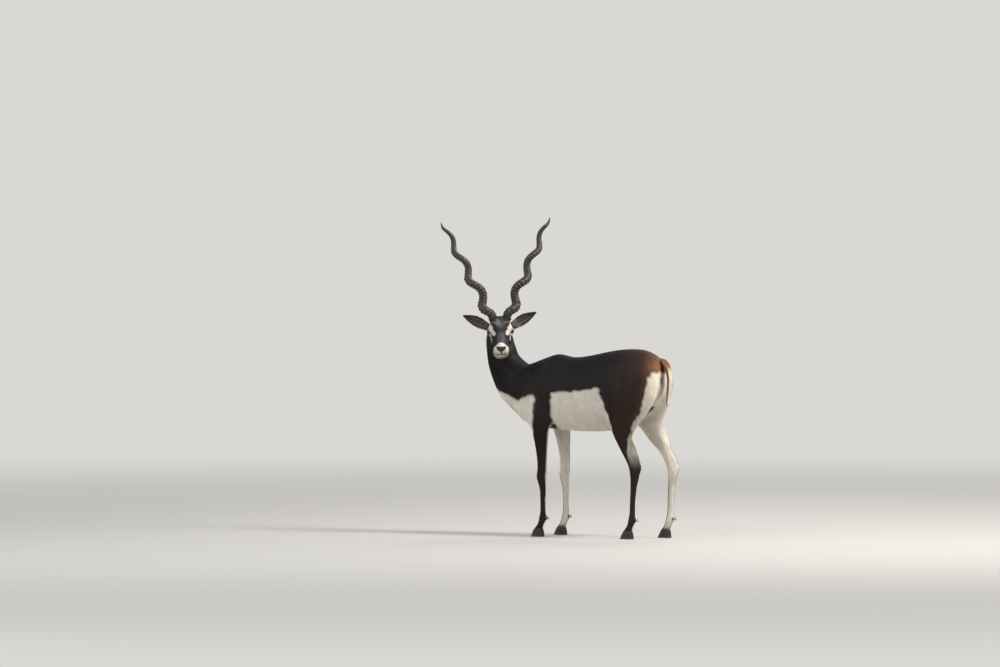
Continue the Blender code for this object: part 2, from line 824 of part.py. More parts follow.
def eye_frame(side):
    """Eye centre, outward axis, axis along the lids, and axis across them."""
    centre = on_head(EYE_CENTRE[0], EYE_CENTRE[1], side * EYE_CENTRE[2])
    out = eye_axis(side)
    along = FORWARD + DOWN * EYE_SLANT
    along = (along - out * along.dot(out)).normalized()
    return centre, out, along, out.cross(along)


def dome(name, frame, radius, behind, sides, rings):
    """The outer part of an eyeball, cut flat a little behind its centre."""
    centre, out, along, across = frame
    start = math.acos(-behind / radius)
    sections = []
    for k in range(rings):
        angle = start * (1 - k / (rings - 0.6))
        middle = centre + out * radius * math.cos(angle)
        reach = radius * math.sin(angle)
        sections.append(oval(middle, along, across, reach, reach, sides))
    return loft(name, sections)


def eye_socket(side):
    """The hollow for the eyeball and the almond opening between the lids, as one cutter."""
    frame = eye_frame(side)
    centre, out, along, across = frame
    hollow = dome("eye_socket", frame, EYE_RADIUS + GAP, EYE_BEHIND + GAP, 20, 7)
    rings = []
    for reach in (EYE_BEHIND, EYE_RADIUS + 0.012):
        middle = centre + out * reach
        half_length, half_height = EYE_OPENING_LENGTH / 2, EYE_OPENING_HEIGHT / 2
        rings.append(oval(middle, along, across, half_length, half_height, 18))
    opening = loft("eye_opening", rings)
    boolean(hollow, "UNION", opening)
    drop(opening)
    return hollow


def make_eye(side):
    name = "eye_left" if side > 0 else "eye_right"
    return dome(name, eye_frame(side), EYE_RADIUS, EYE_BEHIND, 18, 7)


def horn_centre(side, place):
    """Centre of the horn at this share of its axis, and its outward wave."""
    axis = horn_axis(side)
    outward = LEFT * side
    outward = (outward - axis * outward.dot(axis)).normalized()
    behind = axis.cross(outward) * side
    length = place * HORN_AXIS_LENGTH
    angle = 2 * math.pi * (length - HORN_OUTERMOST) / HORN_PITCH
    wave = HORN_WAVE_LOW + (HORN_WAVE_HIGH - HORN_WAVE_LOW) * place
    grown = smoothstep(-0.02, 0.10, place)
    settled = 1 - 0.6 * smoothstep(0.90, 1.0, place)
    offset = outward * math.cos(angle) + behind * math.sin(angle)
    start = outward * math.cos(-2 * math.pi * HORN_OUTERMOST / HORN_PITCH)
    start += behind * math.sin(-2 * math.pi * HORN_OUTERMOST / HORN_PITCH)
    rooted = start * HORN_WAVE_LOW * smoothstep(-0.02, 0.10, 0.0) * (1 - smoothstep(0.0, 0.12, place))
    return horn_base(side) + axis * length + offset * wave * grown * settled - rooted


def horn_places():
    """Places along a horn, each with how far its surface stands out: hollows, crests, then the tip."""
    places = []
    for k in range(2 * HORN_RINGS + 1):
        share = k / (2 * HORN_RINGS)
        place = HORN_RINGED_SHARE * share * (1 + HORN_RINGS_CLOSING * (1 - share))
        worn = 1 - 0.45 * share
        places.append((place, HORN_RING_RISE * worn if k % 2 else -HORN_RING_HOLLOW * worn))
    for place in np.linspace(HORN_RINGED_SHARE, 1.0, HORN_TIP_STATIONS + 1)[1:]:
        places.append((place, 0.0))
    return places


def make_horn(side):
    """A ringed corkscrew; its sides run along it without twisting about it."""
    name = "horn_left" if side > 0 else "horn_right"
    across = LEVEL_FORWARD
    step = 0.004
    rings = []
    for place, rise in horn_places():
        ahead = horn_centre(side, min(place + step, 1.0))
        behind = horn_centre(side, max(place - step, 0.0))
        blend = smoothstep(0.0, 0.06, place)
        tangent = horn_axis(side) * (1 - blend) + (ahead - behind).normalized() * blend
        tangent.normalize()
        across = (across - tangent * across.dot(tangent)).normalized()
        along = tangent.cross(across)
        radius = profile(HORN_RADIUS, place) + rise
        rings.append(oval(horn_centre(side, place), across, along, radius, radius, HORN_SIDES))
    return loft(name, rings)


def make_ear(side):
    name = "ear_left" if side > 0 else "ear_right"
    axis = ear_axis(side)
    front = (LEVEL_FORWARD - axis * LEVEL_FORWARD.dot(axis)).normalized()
    front = (front - LEVEL_UP * 0.25).normalized()
    front = (front - axis * front.dot(axis)).normalized()
    across = axis.cross(front)
    rings = []
    for k in range(EAR_STATIONS):
        place = k / (EAR_STATIONS - 1)
        bowed = front * EAR_CURVE * math.sin(math.pi * place)
        centre = ear_root(side) + axis * EAR_LENGTH * place - bowed
        half = profile(EAR_HALF_WIDTHS, place)
        cup = profile(EAR_CUP_DEPTH, place)
        opened = smoothstep(0.06, 0.26, place)
        ring = []
        for q in np.linspace(-1, 1, 7):
            ring.append(centre + across * half * q - front * cup * (1 - q * q))
        wall = EAR_WALL * (1 - 0.6 * place)
        for q in np.linspace(0.84, -0.84, 5):
            closed = cup * (1 - q * q)
            hollow = -cup * (1 - q * q) * 0.95 + wall
            lifted = closed * (1 - opened) + hollow * opened
            ring.append(centre + across * half * 0.97 * q + front * lifted)
        rings.append(ring)
    return loft(name, rings)


def tail_station(place):
    """Centre, half depth and half width of the tail at this share of its length."""
    rows = curve_through(TAIL, 61)
    reach = min(max(place, 0.0), 1.0) * (len(rows) - 1)
    k = min(int(reach), len(rows) - 2)
    x, z, depth, width = rows[k] + (rows[k + 1] - rows[k]) * (reach - k)
    return Vector((x, 0.0, z)), depth, width


def tail_frame(place):
    """Unit vectors down the tail and out of its rear face."""
    tangent = (tail_station(place + 0.02)[0] - tail_station(place - 0.02)[0]).normalized()
    return tangent, tangent.cross(Vector((0.0, 1.0, 0.0)))


def make_lock(name, start, length, angle, width, spread):
    """One flat tapered lock that lies down the tail from its place on it."""
    rings = []
    for k in range(TAIL_LOCK_STATIONS):
        t = k / (TAIL_LOCK_STATIONS - 1)
        place = start + length * t
        centre, depth, half = tail_station(place)
        tangent, rear = tail_frame(place)
        direction = Vector((0.0, math.cos(angle), 0.0)) + rear * math.sin(angle)
        side_reach = half * math.cos(angle)
        rear_reach = depth * math.sin(angle)
        lift = 0.62 + 0.30 * math.sin(math.pi * min(t * 1.2, 1.0)) + spread * t
        middle = centre + (Vector((0.0, side_reach, 0.0)) + rear * rear_reach) * lift
        thin = (direction - tangent * direction.dot(tangent)).normalized()
        wide = tangent.cross(thin)
        taper = math.sqrt(max(1 - t**2.2, 0.0)) * 0.97 + 0.03
        rings.append(oval(middle, wide, thin, width * taper, TAIL_LOCK_THICKNESS * taper, 4))
    return loft(name, rings)


def make_tail():
    """A short core with a tuft of seeded locks, all joined into one closed surface."""
    dice = np.random.default_rng(TAIL_SEED)
    rings = []
    for place in np.linspace(0.0, TAIL_CORE_SHARE, 9):
        centre, depth, width = tail_station(place)
        narrowed = 1 - 0.55 * smoothstep(0.45, TAIL_CORE_SHARE, place)
        rear = tail_frame(place)[1]
        rings.append(oval(centre, (0, 1, 0), rear, width * narrowed, depth * narrowed, 12))
    tail = loft("tail", rings)
    locks = bpy.data.collections.new("tail_locks")
    bpy.context.scene.collection.children.link(locks)
    for k in range(TAIL_LOCKS):
        share = k / (TAIL_LOCKS - 1)
        start = TAIL_LOCK_FIRST + (TAIL_LOCK_LAST - TAIL_LOCK_FIRST) * share
        length = min(TAIL_LOCK_LENGTH * dice.uniform(0.85, 1.15), 1.0 - start)
        angle = k * math.radians(137.5) + dice.uniform(-0.25, 0.25)
        width = TAIL_LOCK_WIDTH * dice.uniform(0.85, 1.15)
        lock = make_lock(f"lock_{k}", start, length, angle, width, dice.uniform(-0.05, 0.12))
        bpy.context.scene.collection.objects.unlink(lock)
        locks.objects.link(lock)
    modifier = tail.modifiers.new("join_locks", "BOOLEAN")
    modifier.operation = "UNION"
    modifier.operand_type = "COLLECTION"
    modifier.collection = locks
    modifier.solver = "EXACT"
    modifier.use_self = True
    with_modifiers_applied(tail)
    for lock in list(locks.objects):
        drop(lock)
    bpy.data.collections.remove(locks)
    return largest_shell(tail)


def claw_outline(length, width, heel, turn, centre, z, side):
    """A claw seen from above: round at the heel, straight along the cleft, pointed at the toe."""
    shape = [
        (heel, 0.30),
        (heel - 0.18 * length, 0.02),
        (heel - 0.60 * length, 0.00),
        (heel - 0.90 * length, 0.12),
        (heel - 1.00 * length, 0.34),
        (heel - 0.84 * length, 0.70),
        (heel - 0.52 * length, 0.98),
        (heel - 0.20 * length, 1.00),
        (heel - 0.02 * length, 0.74),
    ]
    points = []
    for x, share in shape:
        y = side * (CLAW_CLEFT / 2 + share * width)
        turned = Matrix.Rotation(turn, 2) @ Vector((x, y))
        points.append(Vector((centre[0] + turned.x, centre[1] + turned.y, z)))
    return points


def make_claw(name, centre, side):
    turn = math.radians(CLAW_SPLAY) * side * -1
    rows = [
        (0.0, CLAW_LENGTH_SOLE, CLAW_WIDTH, 0.0225),
        (0.008, CLAW_LENGTH_SOLE * 0.93, CLAW_WIDTH, 0.0225),
        (0.020, CLAW_LENGTH_SOLE * 0.80, CLAW_WIDTH * 0.98, 0.0205),
        (CORONET_HEIGHT - GAP / 2, CLAW_LENGTH_TOP, CLAW_WIDTH * 0.92, 0.0170),
    ]
    rings = [claw_outline(length, width, heel, turn, centre, z, side) for z, length, width, heel in rows]
    return loft(name, rings)


def make_hooves():
    made = []
    for fore, stations, place in ((True, FORELEG, "fore"), (False, HINDLEG, "hind")):
        coronet = stations[-2]
        for side, hand in ((-1, "left"), (1, "right")):
            x = coronet[0] + swing(side, fore, CORONET_HEIGHT)
            y = side * coronet[4]
            for part in (-1, 1):
                name = "outer" if part == side else "inner"
                made.append(make_claw(f"hoof_{place}_{hand}_{name}", (x, y), part))
    return made


def part_leg(skin, side, fore):
    """The upper leg, cannon and pastern of one leg, top down."""
    hand = "left" if side < 0 else "right"
    place = "foreleg" if fore else "hindleg"
    middle = KNEE_CUT if fore else HOCK_CUT
    spans = (
        ("upper", middle, None),
        ("cannon", FETLOCK_CUT, middle),
        ("pastern", CORONET_HEIGHT, FETLOCK_CUT),
    )
    x = -0.19 if fore else 0.26
    around = [((0, side * 0.012, 0), (0, side, 0))]
    if fore:
        around += [((x + 0.2, 0, 0), (-1, 0, 0)), ((0, 0, 0.66), (0, 0, -1))]
    else:
        around += [((x - 0.2, 0, 0), (1, 0, 0)), ((0, 0, 0.72), (0, 0, -1))]
    leg = copy_of(skin, "leg")
    cut_by(leg, around, 0.0)
    pieces = []
    for part, low, high in spans:
        piece = copy_of(leg, f"{place}_{hand}_{part}")
        planes = [((0, 0, low), (0, 0, 1))]
        planes += leg_planes(side, fore) if high is None else [((0, 0, high), (0, 0, -1))]
        cut_by(piece, planes, -MARGIN)
        largest_shell(piece)
        thinned(piece, TRIANGLES[part])
        cut_by(piece, planes, GAP / 2)
        pieces.append(piece)
    drop(leg)
    return pieces


def stand_on_origin():
    """Moves every piece so that the origin is under the middle of the whole, on the floor."""
    pieces = list(bpy.context.scene.collection.objects)
    points = np.concatenate([points_of(piece) for piece in pieces])
    low, high = points.min(axis=0), points.max(axis=0)
    shift = np.array([-(low[0] + high[0]) / 2, -(low[1] + high[1]) / 2, -low[2]])
    for piece in pieces:
        set_points(piece, points_of(piece) + shift)


def main():
    clear_scene()
    finishes = {name: make_material(name) for name in MATERIALS}
    body_skin = make_body_skin()
    head_skin = make_head_skin()
    torso = part_torso(body_skin)
    neck = part_neck(body_skin)
    head = part_head(head_skin)
    legs = []
    for side in (-1, 1):
        for fore in (True, False):
            legs += part_leg(body_skin, side, fore)
    drop(body_skin)
    drop(head_skin)
    tail = make_tail()
    boolean(tail, "DIFFERENCE", torso)
    finish(torso, finishes["black_coat"])
    finish(neck, finishes["black_coat"])
    finish(head, finishes["black_coat"])
    finish(tail, finishes["brown_coat"])
    for leg in legs:
        finish(leg, finishes["brown_coat"])
    for side in (-1, 1):
        finish(make_eye(side), finishes["eye_wet"])
        finish(make_horn(side), finishes["horn_sheath"])
        finish(make_ear(side), finishes["grey_coat"])
    for claw in make_hooves():
        finish(claw, finishes["hoof_horn"])
    stand_on_origin()


main()
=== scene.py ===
"""Looks of the standing male blackbuck: skin, coat, ears, eyes, horns, hooves and a plain studio."""

import logging
import math
from contextlib import contextmanager
from dataclasses import dataclass
from enum import Enum
from typing import Callable, Iterator

import bmesh
import bpy
import numpy as np
from mathutils import Matrix, Vector
from mathutils.bvhtree import BVHTree


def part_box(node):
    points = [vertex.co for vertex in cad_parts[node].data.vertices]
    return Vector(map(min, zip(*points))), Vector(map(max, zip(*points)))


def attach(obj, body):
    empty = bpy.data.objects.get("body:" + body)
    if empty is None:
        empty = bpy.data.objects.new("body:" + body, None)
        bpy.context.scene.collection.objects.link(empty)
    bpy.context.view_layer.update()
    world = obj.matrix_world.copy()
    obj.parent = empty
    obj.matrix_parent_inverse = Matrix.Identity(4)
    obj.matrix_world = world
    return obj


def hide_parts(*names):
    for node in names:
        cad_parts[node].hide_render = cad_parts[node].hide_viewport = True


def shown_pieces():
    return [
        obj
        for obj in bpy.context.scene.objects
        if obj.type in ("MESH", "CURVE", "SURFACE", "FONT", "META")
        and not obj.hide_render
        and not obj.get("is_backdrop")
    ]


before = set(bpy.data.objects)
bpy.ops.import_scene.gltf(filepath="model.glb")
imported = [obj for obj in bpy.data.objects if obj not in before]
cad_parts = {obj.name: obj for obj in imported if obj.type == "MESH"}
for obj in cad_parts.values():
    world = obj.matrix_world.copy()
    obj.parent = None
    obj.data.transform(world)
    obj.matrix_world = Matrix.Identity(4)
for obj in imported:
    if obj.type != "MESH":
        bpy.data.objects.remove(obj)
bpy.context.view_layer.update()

log = logging.getLogger("blackbuck")

Array = np.ndarray
Object = bpy.types.Object
Material = bpy.types.Material
NodeTree = bpy.types.NodeTree
Node = bpy.types.Node

# The animal's own frame: it heads to -X with its left side to -Y, as the solids were laid out
ANCHOR_NODE = "hoof_fore_left_inner"
ANCHOR_LOCAL = Vector((-0.240709, -0.089698, 0.0))
OFFSET = Vector(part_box(ANCHOR_NODE)[0]) - ANCHOR_LOCAL
OFFSET.z = 0.0
OFFSET_ROW = np.array(OFFSET)

HEAD_TURN = 120.0
HEAD_PITCH = 36.0
HEAD_ROLL = 2.65
POLL = Vector((-0.439, -0.025, 0.961))

FLESH = ["torso", "neck", "head", "tail", "ear_left", "ear_right"] + [
    f"{limb}_{hand}_{part}"
    for limb in ("foreleg", "hindleg")
    for hand in ("left", "right")
    for part in ("upper", "cannon", "pastern")
]

# Eyes, as on the solids
EYE_PLACE = (0.0705, 0.0365, 0.0445)
EYE_RADIUS = 0.0140
EYE_DIRECTION = (0.40, 0.90, -0.10)
EYE_SLANT = -0.34
EYE_HALF_LENGTH = 0.0126
EYE_HALF_HEIGHT = 0.0084
UPPER_LID = 1.06
LOWER_LID = 0.90

# Horns, as on the solids
HORN_BASE = (0.0384, -0.0053, 0.0295)
HORN_AXIS_LENGTH = 0.506
HORN_AXIS = (0.2076, -0.160, 0.4328)
HORN_PITCH = 0.1415
HORN_OUTERMOST = 0.066
HORN_WAVE_LOW = 0.0172
HORN_WAVE_HIGH = 0.0095
HORN_PROFILE = [(0.0, 0.0190), (0.35, 0.0172), (0.62, 0.0142), (0.82, 0.0108), (0.94, 0.0066), (1.0, 0.0014)]
HORN_RINGS = 40
HORN_RINGED_SHARE = 0.87
HORN_RINGS_CLOSING = 0.14

# Ears, as on the solids
EAR_ROOT = (0.0237, 0.0499, 0.0491)
EAR_DIRECTION = (0.878, -0.150, 0.455)
EAR_LENGTH = 0.128
# fmt: off
EAR_HALF_WIDTHS = [
    (0.0, 0.0165), (0.08, 0.0185), (0.34, 0.0255), (0.56, 0.0240), (0.77, 0.0160), (0.92, 0.0075), (1.0, 0.0016),
]
EAR_CUP_DEPTH = [(0.0, 0.0125), (0.16, 0.0135), (0.48, 0.0100), (0.8, 0.0045), (1.0, 0.0008)]
EAR_WALL = 0.0024
EAR_CURVE = 0.006

# Tail, as on the solids: x, z, half depth, half width
TAIL = [
    (0.336, 0.781, 0.0150, 0.0150), (0.368, 0.765, 0.0145, 0.0165), (0.389, 0.735, 0.0125, 0.0175),
    (0.397, 0.700, 0.0115, 0.0180), (0.397, 0.660, 0.0100, 0.0175), (0.392, 0.620, 0.0080, 0.0150),
    (0.387, 0.590, 0.0050, 0.0100), (0.385, 0.572, 0.0015, 0.0025),
]

# Hooves, as on the solids: x, distance from the middle, and how far the right one stands back
CORONETS = {"fore": (-0.206, 0.090, 0.012), "hind": (0.240, 0.092, 0.085)}
CORONET_HEIGHT = 0.033
CLAW_SPLAY = 5.0
CLAW_CLEFT = 0.0022
# Of a claw: height, length, width and place of the heel
CLAW_STATIONS = [
    (0.0, 0.058, 0.0178, 0.0225), (0.008, 0.058 * 0.93, 0.0178, 0.0225),
    (0.020, 0.058 * 0.80, 0.0178 * 0.98, 0.0205), (CORONET_HEIGHT, 0.036, 0.0178 * 0.92, 0.0170),
]
# Claw seen from above, from heel round to heel: shares of its length and of its width
CLAW_OUTLINE = [
    (0.0, 0.30), (0.18, 0.02), (0.60, 0.00), (0.90, 0.12), (1.00, 0.34), (0.84, 0.70), (0.52, 0.98), (0.20, 1.00),
    (0.02, 0.74),
]
# Dew claws: x, height, and distance from the middle
DEW_CLAWS = {"fore": (-0.166, 0.084, 0.0900), "hind": (0.281, 0.085, 0.0920)}

# Lines carved in the face: distance along it from the poll, depth below that, and distance out
NOSTRIL = [(0.2190, 0.0245, 0.0110), (0.2140, 0.0180, 0.0170), (0.2040, 0.0155, 0.0215)]
NOSTRIL_WING = [(0.2165, 0.0315, 0.0150), (0.2090, 0.0250, 0.0235), (0.1990, 0.0205, 0.0262)]
GLAND = [(0.0980, 0.0300, 0.0400), (0.1070, 0.0400, 0.0395), (0.1140, 0.0490, 0.0375)]
MOUTH = [
    (0.2235, 0.0465, 0.0), (0.2165, 0.0485, 0.0145), (0.2000, 0.0520, 0.0255), (0.1780, 0.0565, 0.0320),
    (0.1480, 0.0625, 0.0335),
]
LOWER_LIP = [(0.2190, 0.0530, 0.0), (0.2120, 0.0550, 0.0140), (0.1960, 0.0585, 0.0240), (0.1760, 0.0625, 0.0300)]
CLEFT = [(0.2225, 0.0300, 0.0), (0.2225, 0.0450, 0.0)]
CHEEK_BONE = [(0.085, 0.066, 0.044), (0.130, 0.062, 0.034)]
JAW_HOLLOW = [(0.105, 0.084, 0.037), (0.150, 0.075, 0.031)]
# Line, width and depth of each groove, or rise of each fold
CARVED = [
    (NOSTRIL, 0.0026, 0.0068), (NOSTRIL_WING, 0.0030, -0.0013), (MOUTH, 0.0016, 0.0030),
    (LOWER_LIP, 0.0038, -0.0010), (GLAND, 0.0020, 0.0034), (CLEFT, 0.0011, 0.0008),
    (CHEEK_BONE, 0.0090, -0.0014), (JAW_HOLLOW, 0.0100, 0.0020),
]

# Lines that the head's markings follow, on the same scheme, and the nose pad's half width by depth
BROW_PATCH = [(0.030, 0.030, 0.056), (0.066, 0.014, 0.047), (0.094, 0.019, 0.040), (0.118, 0.018, 0.028)]
EYE_STRIP = [(0.101, 0.036, 0.044), (0.101, 0.058, 0.042), (0.087, 0.096, 0.043)]
HORN_TUFT = [(0.074, -0.003, 0.0150), (0.066, -0.008, 0.0220), (0.062, -0.004, 0.0320), (0.060, 0.003, 0.0390)]
PAD_WIDTHS = [
    (0.0090, 0.0070), (0.0120, 0.0165), (0.0160, 0.0225), (0.0220, 0.0210), (0.0270, 0.0120),
    (0.0320, 0.0038), (0.0450, 0.0022),
]

# Upper edge of the white along each side, as x and height
BELLY_LINE = [
    (-0.50, 0.650), (-0.455, 0.643), (-0.407, 0.626), (-0.350, 0.606), (-0.300, 0.597), (-0.274, 0.613),
    (-0.235, 0.622), (-0.142, 0.632), (-0.017, 0.637), (0.050, 0.648), (0.084, 0.656), (0.106, 0.652),
    (0.140, 0.640), (0.40, 0.640),
]
# Front edge of the dark thigh and front edge of the white buttock, as height and x
THIGH_FRONT = [(0.44, 0.180), (0.465, 0.176), (0.527, 0.156), (0.580, 0.124), (0.626, 0.108), (0.66, 0.100)]
BUTTOCK_FRONT = [
    (0.30, 0.262), (0.38, 0.250), (0.45, 0.252), (0.522, 0.284), (0.5565, 0.310), (0.626, 0.328),
    (0.709, 0.338), (0.80, 0.362),
]
# fmt: on
# Width of a lock's patch on the bake map
BAKE_PATCH = 0.003
# Forelegs stand before this x and hind legs behind it
LEG_DIVIDE = 0.05
LEG_AXIS_OUT = 0.091
TRUNK_AXIS_HEIGHT = 0.62


class Tint(Enum):
    """Colours of the animal, each as an sRGB hex value."""

    BLACK = "191819"
    BLACK_SHEEN = "2c2c2f"
    # Painted sheen: light grey for light on the glossy black hair of forehead and nose bridge
    FOREHEAD_SHEEN_GREY = "74777c"
    # Painted sheen: grey for light on the wet black nose pad
    PAD_SHEEN_GREY = "33343a"
    TAIL_BROWN = "8f6243"
    BROWN_BLACK = "291d16"
    DARK_BROWN = "3a2820"
    RUST = "6c4630"
    # Painted highlight: sunlit orange on the rump's rust-brown hair
    RUMP_HIGHLIGHT_ORANGE = "b4784a"
    CREAM = "e8e0d2"
    # The body's cream toned down as painted shade, for the white of the face
    FACE_CREAM_PAINTED_SHADE = "d0c9be"
    HORN_FUR = "9a8a70"
    EAR_BACK = "564e46"
    EAR_INSIDE = "34302e"
    EAR_RIM = "a9987d"
    EAR_HAIR = "a59a88"
    BARE_BLACK = "121011"
    # Grey of the lips, also painted as shade along the mouth's crease
    LIP_GREY_AND_SHADE = "5b4f48"


def linear(tint: "Tint | str") -> Array:
    """Linear colour of a tint or an sRGB hex value."""
    code = tint.value if isinstance(tint, Tint) else tint
    values = np.array([int(code[k : k + 2], 16) for k in (0, 2, 4)]) / 255
    return np.where(values <= 0.04045, values / 12.92, ((values + 0.055) / 1.055) ** 2.4)


def rgba(tint: "Tint | str") -> tuple[float, float, float, float]:
    """A tint as a node colour."""
    return (*[float(v) for v in linear(tint)], 1.0)


def smooth(low: float, high: float, value: Array) -> Array:
    """Eased step from 0 at low to 1 at high."""
    t = np.clip((np.asarray(value) - low) / (high - low), 0.0, 1.0)
    return t * t * (3 - 2 * t)


def bell(value: Array, middle: float, width: float) -> Array:
    """Bell curve of height 1."""
    return np.exp(-(((value - middle) / width) ** 2))


def blend(a: Array, b: Array, share: Array) -> Array:
    """The first value at a share of 0, and the second at 1."""
    return a * (1 - share) + b * share


def read_off(line: list, place: Array) -> Array:
    """Value at each place along a list of (place, value) pairs."""
    return np.interp(place, [p[0] for p in line], [p[1] for p in line])


def ripple(points: Array, wavelength: float, seed: int) -> Array:
    """Seeded values of about -1 to 1 that vary smoothly over a wavelength in metres."""
    dice = np.random.default_rng(seed)
    total = np.zeros(len(points))
    waves = 7
    for _ in range(waves):
        direction = dice.normal(size=3)
        direction /= np.linalg.norm(direction)
        turns = 2 * math.pi / wavelength * dice.uniform(0.6, 1.5)
        total += np.sin(points @ direction * turns + dice.uniform(0, 2 * math.pi))
    return total / math.sqrt(waves)


def meet(a: Array, b: Array, rounding: float) -> Array:
    """The smaller of two distances, rounded off where they meet."""
    low = np.minimum(a, b)
    return low - rounding * np.log1p(np.exp(-np.abs(a - b) / rounding)) * 0.7


def unit(rows: Array) -> Array:
    """Rows scaled to length 1."""
    return rows / np.maximum(np.linalg.norm(rows, axis=-1, keepdims=True), 1e-12)


def square_to(rows: Array, axes: Array) -> Array:
    """What is left of each row at right angles to its axis."""
    return rows - axes * np.sum(rows * axes, axis=1)[:, None]


def circle(count: int) -> Array:
    """Angles spread evenly round a full turn."""
    return np.linspace(0, 2 * math.pi, count, endpoint=False)


def hand(side: int) -> str:
    """Name of a side of the head: 1 is its left."""
    return "left" if side > 0 else "right"


def head_axes() -> list[Vector]:
    """Unit vectors of the head: forward, to its left and down, then level forward and level up."""
    turn = math.radians(180.0 + HEAD_TURN)
    towards = Vector((math.cos(turn), math.sin(turn), 0.0))
    left = Vector((-towards.y, towards.x, 0.0))
    up = Vector((0.0, 0.0, 1.0))
    pitch = math.radians(HEAD_PITCH)
    forward = towards * math.cos(pitch) - up * math.sin(pitch)
    down = -towards * math.sin(pitch) - up * math.cos(pitch)
    roll = Matrix.Rotation(math.radians(HEAD_ROLL), 3, towards)
    return [roll @ v for v in (forward, left, down, towards, up)]


FORWARD, LEFT, DOWN, LEVEL_FORWARD, LEVEL_UP = head_axes()


def on_head(distance: float, depth: float, out: float) -> Vector:
    """Place of a point given along the face, down from it and out to the head's left."""
    return OFFSET + POLL + FORWARD * distance + DOWN * depth + LEFT * out


def head_coordinates(points: Array) -> tuple[Array, Array, Array]:
    """Distance along the face, depth below it, and distance out to the head's left."""
    away = points - OFFSET_ROW - np.array(POLL)
    return away @ np.array(FORWARD), away @ np.array(DOWN), away @ np.array(LEFT)


def level_direction(side: int, direction: tuple[float, float, float]) -> Vector:
    """Unit vector given to this side, forward and up in the head's level axes."""
    out, forward, up = direction
    return (LEFT * (side * out) + LEVEL_FORWARD * forward + LEVEL_UP * up).normalized()


def curve_through(stations: list, count: int) -> Array:
    """Rows of the stations, resampled evenly along a Catmull-Rom curve through them."""
    rows = np.array(stations, float)
    ends = np.vstack([2 * rows[0] - rows[1], rows, 2 * rows[-1] - rows[-2]])
    result = []
    for place in np.linspace(0, len(rows) - 1, count):
        k = min(int(place), len(rows) - 2)
        t = place - k
        a, b, c, d = ends[k : k + 4]
        linear_part = (c - a) * t
        square = (2 * a - 5 * b + 4 * c - d) * t**2
        cubic = (3 * b - a - 3 * c + d) * t**3
        result.append((2 * b + linear_part + square + cubic) / 2)
    return np.array(result)


def profile(line: list, place: "float | Array") -> Array:
    """Value at this place along a list of (place, value) pairs, rounded off by averaging."""
    spread = 0.02
    before, here, after = [read_off(line, np.clip(place + k * spread, 0, 1)) for k in (-1, 0, 1)]
    return (before + 2 * here + after) / 4


def distance_to_line(points: Array, line: list) -> Array:
    """Least distance from each point to a polyline."""
    best = np.full(len(points), np.inf)
    for a, b in zip(line, line[1:]):
        a, b = np.array(a), np.array(b)
        along = b - a
        t = np.clip((points - a) @ along / (along @ along), 0, 1)
        best = np.minimum(best, np.linalg.norm(points - a - t[:, None] * along, axis=1))
    return best


def laid_on_head(line: list[Vector]) -> list[Vector]:
    """Moves the points of a line, and points between them, to the nearest place on the head's solid."""
    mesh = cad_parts["head"].data
    mesh.calc_loop_triangles()
    corners = [tuple(triangle.vertices) for triangle in mesh.loop_triangles]
    tree = BVHTree.FromPolygons([v.co for v in mesh.vertices], corners)
    laid = []
    for start, end in zip(line, line[1:]):
        laid += [tree.find_nearest(start.lerp(end, k / 4))[0] for k in range(4)]
    return laid + [tree.find_nearest(line[-1])[0]]


def off_line(points: Array, stations: list, side: int) -> Array:
    """Distance of each point from a line on one side of the face."""
    line = [on_head(distance, depth, side * out) for distance, depth, out in stations]
    return distance_to_line(points, laid_on_head(line) if stations in (MOUTH, LOWER_LIP, EYE_STRIP) else line)


def eye_frame(side: int) -> list[Array]:
    """Eye centre, outward axis, axis along the lids towards the nose, and axis across them."""
    centre = on_head(EYE_PLACE[0], EYE_PLACE[1], side * EYE_PLACE[2])
    forward, out, down = EYE_DIRECTION
    axis = (FORWARD * forward + LEFT * side * out + DOWN * down).normalized()
    along = FORWARD + DOWN * EYE_SLANT
    along = (along - axis * along.dot(axis)).normalized()
    across = axis.cross(along) * side
    if across.dot(DOWN) > 0:
        across = -across
    return [np.array(v) for v in (centre, axis, along, across)]


def lid_half_height(share: Array, upper: Array) -> Array:
    """Half height of the opening between the lids at this share of its half length."""
    inside = np.clip(1 - np.abs(share) ** 2.1, 0.0, 1.0)
    return EYE_HALF_HEIGHT * inside**0.62 * np.where(upper, UPPER_LID, LOWER_LID)


def eye_measure(points: Array, side: int) -> tuple[Array, Array]:
    """How far out of the lids' opening each point lies (1 on its rim), and its distance from the eye."""
    centre, out, along, across = eye_frame(side)
    away = points - centre
    a, b, c = away @ along, away @ across, away @ out
    share = a / EYE_HALF_LENGTH
    half = lid_half_height(share * 0.98, b > 0)
    tall = np.abs(b) / np.maximum(half, 0.0016)
    oval = np.hypot(share, b / (EYE_HALF_HEIGHT * np.where(b > 0, UPPER_LID, LOWER_LID)))
    q = np.where(np.abs(share) < 1.0, np.maximum(tall, np.abs(share) ** 4), np.abs(share) + tall * 0.1)
    q = np.where(q > 1.3, np.maximum(oval, 1.3), q)
    return np.where(c > 0.0, q, 9.0), np.linalg.norm(away, axis=1)


def read_all(items: bpy.types.bpy_prop_collection, name: str, width: int, kind: type) -> Array:
    """Values of a property, as one row for each vertex, edge or corner."""
    flat = np.empty(len(items) * width, kind)
    items.foreach_get(name, flat)
    return flat.reshape(-1, width)


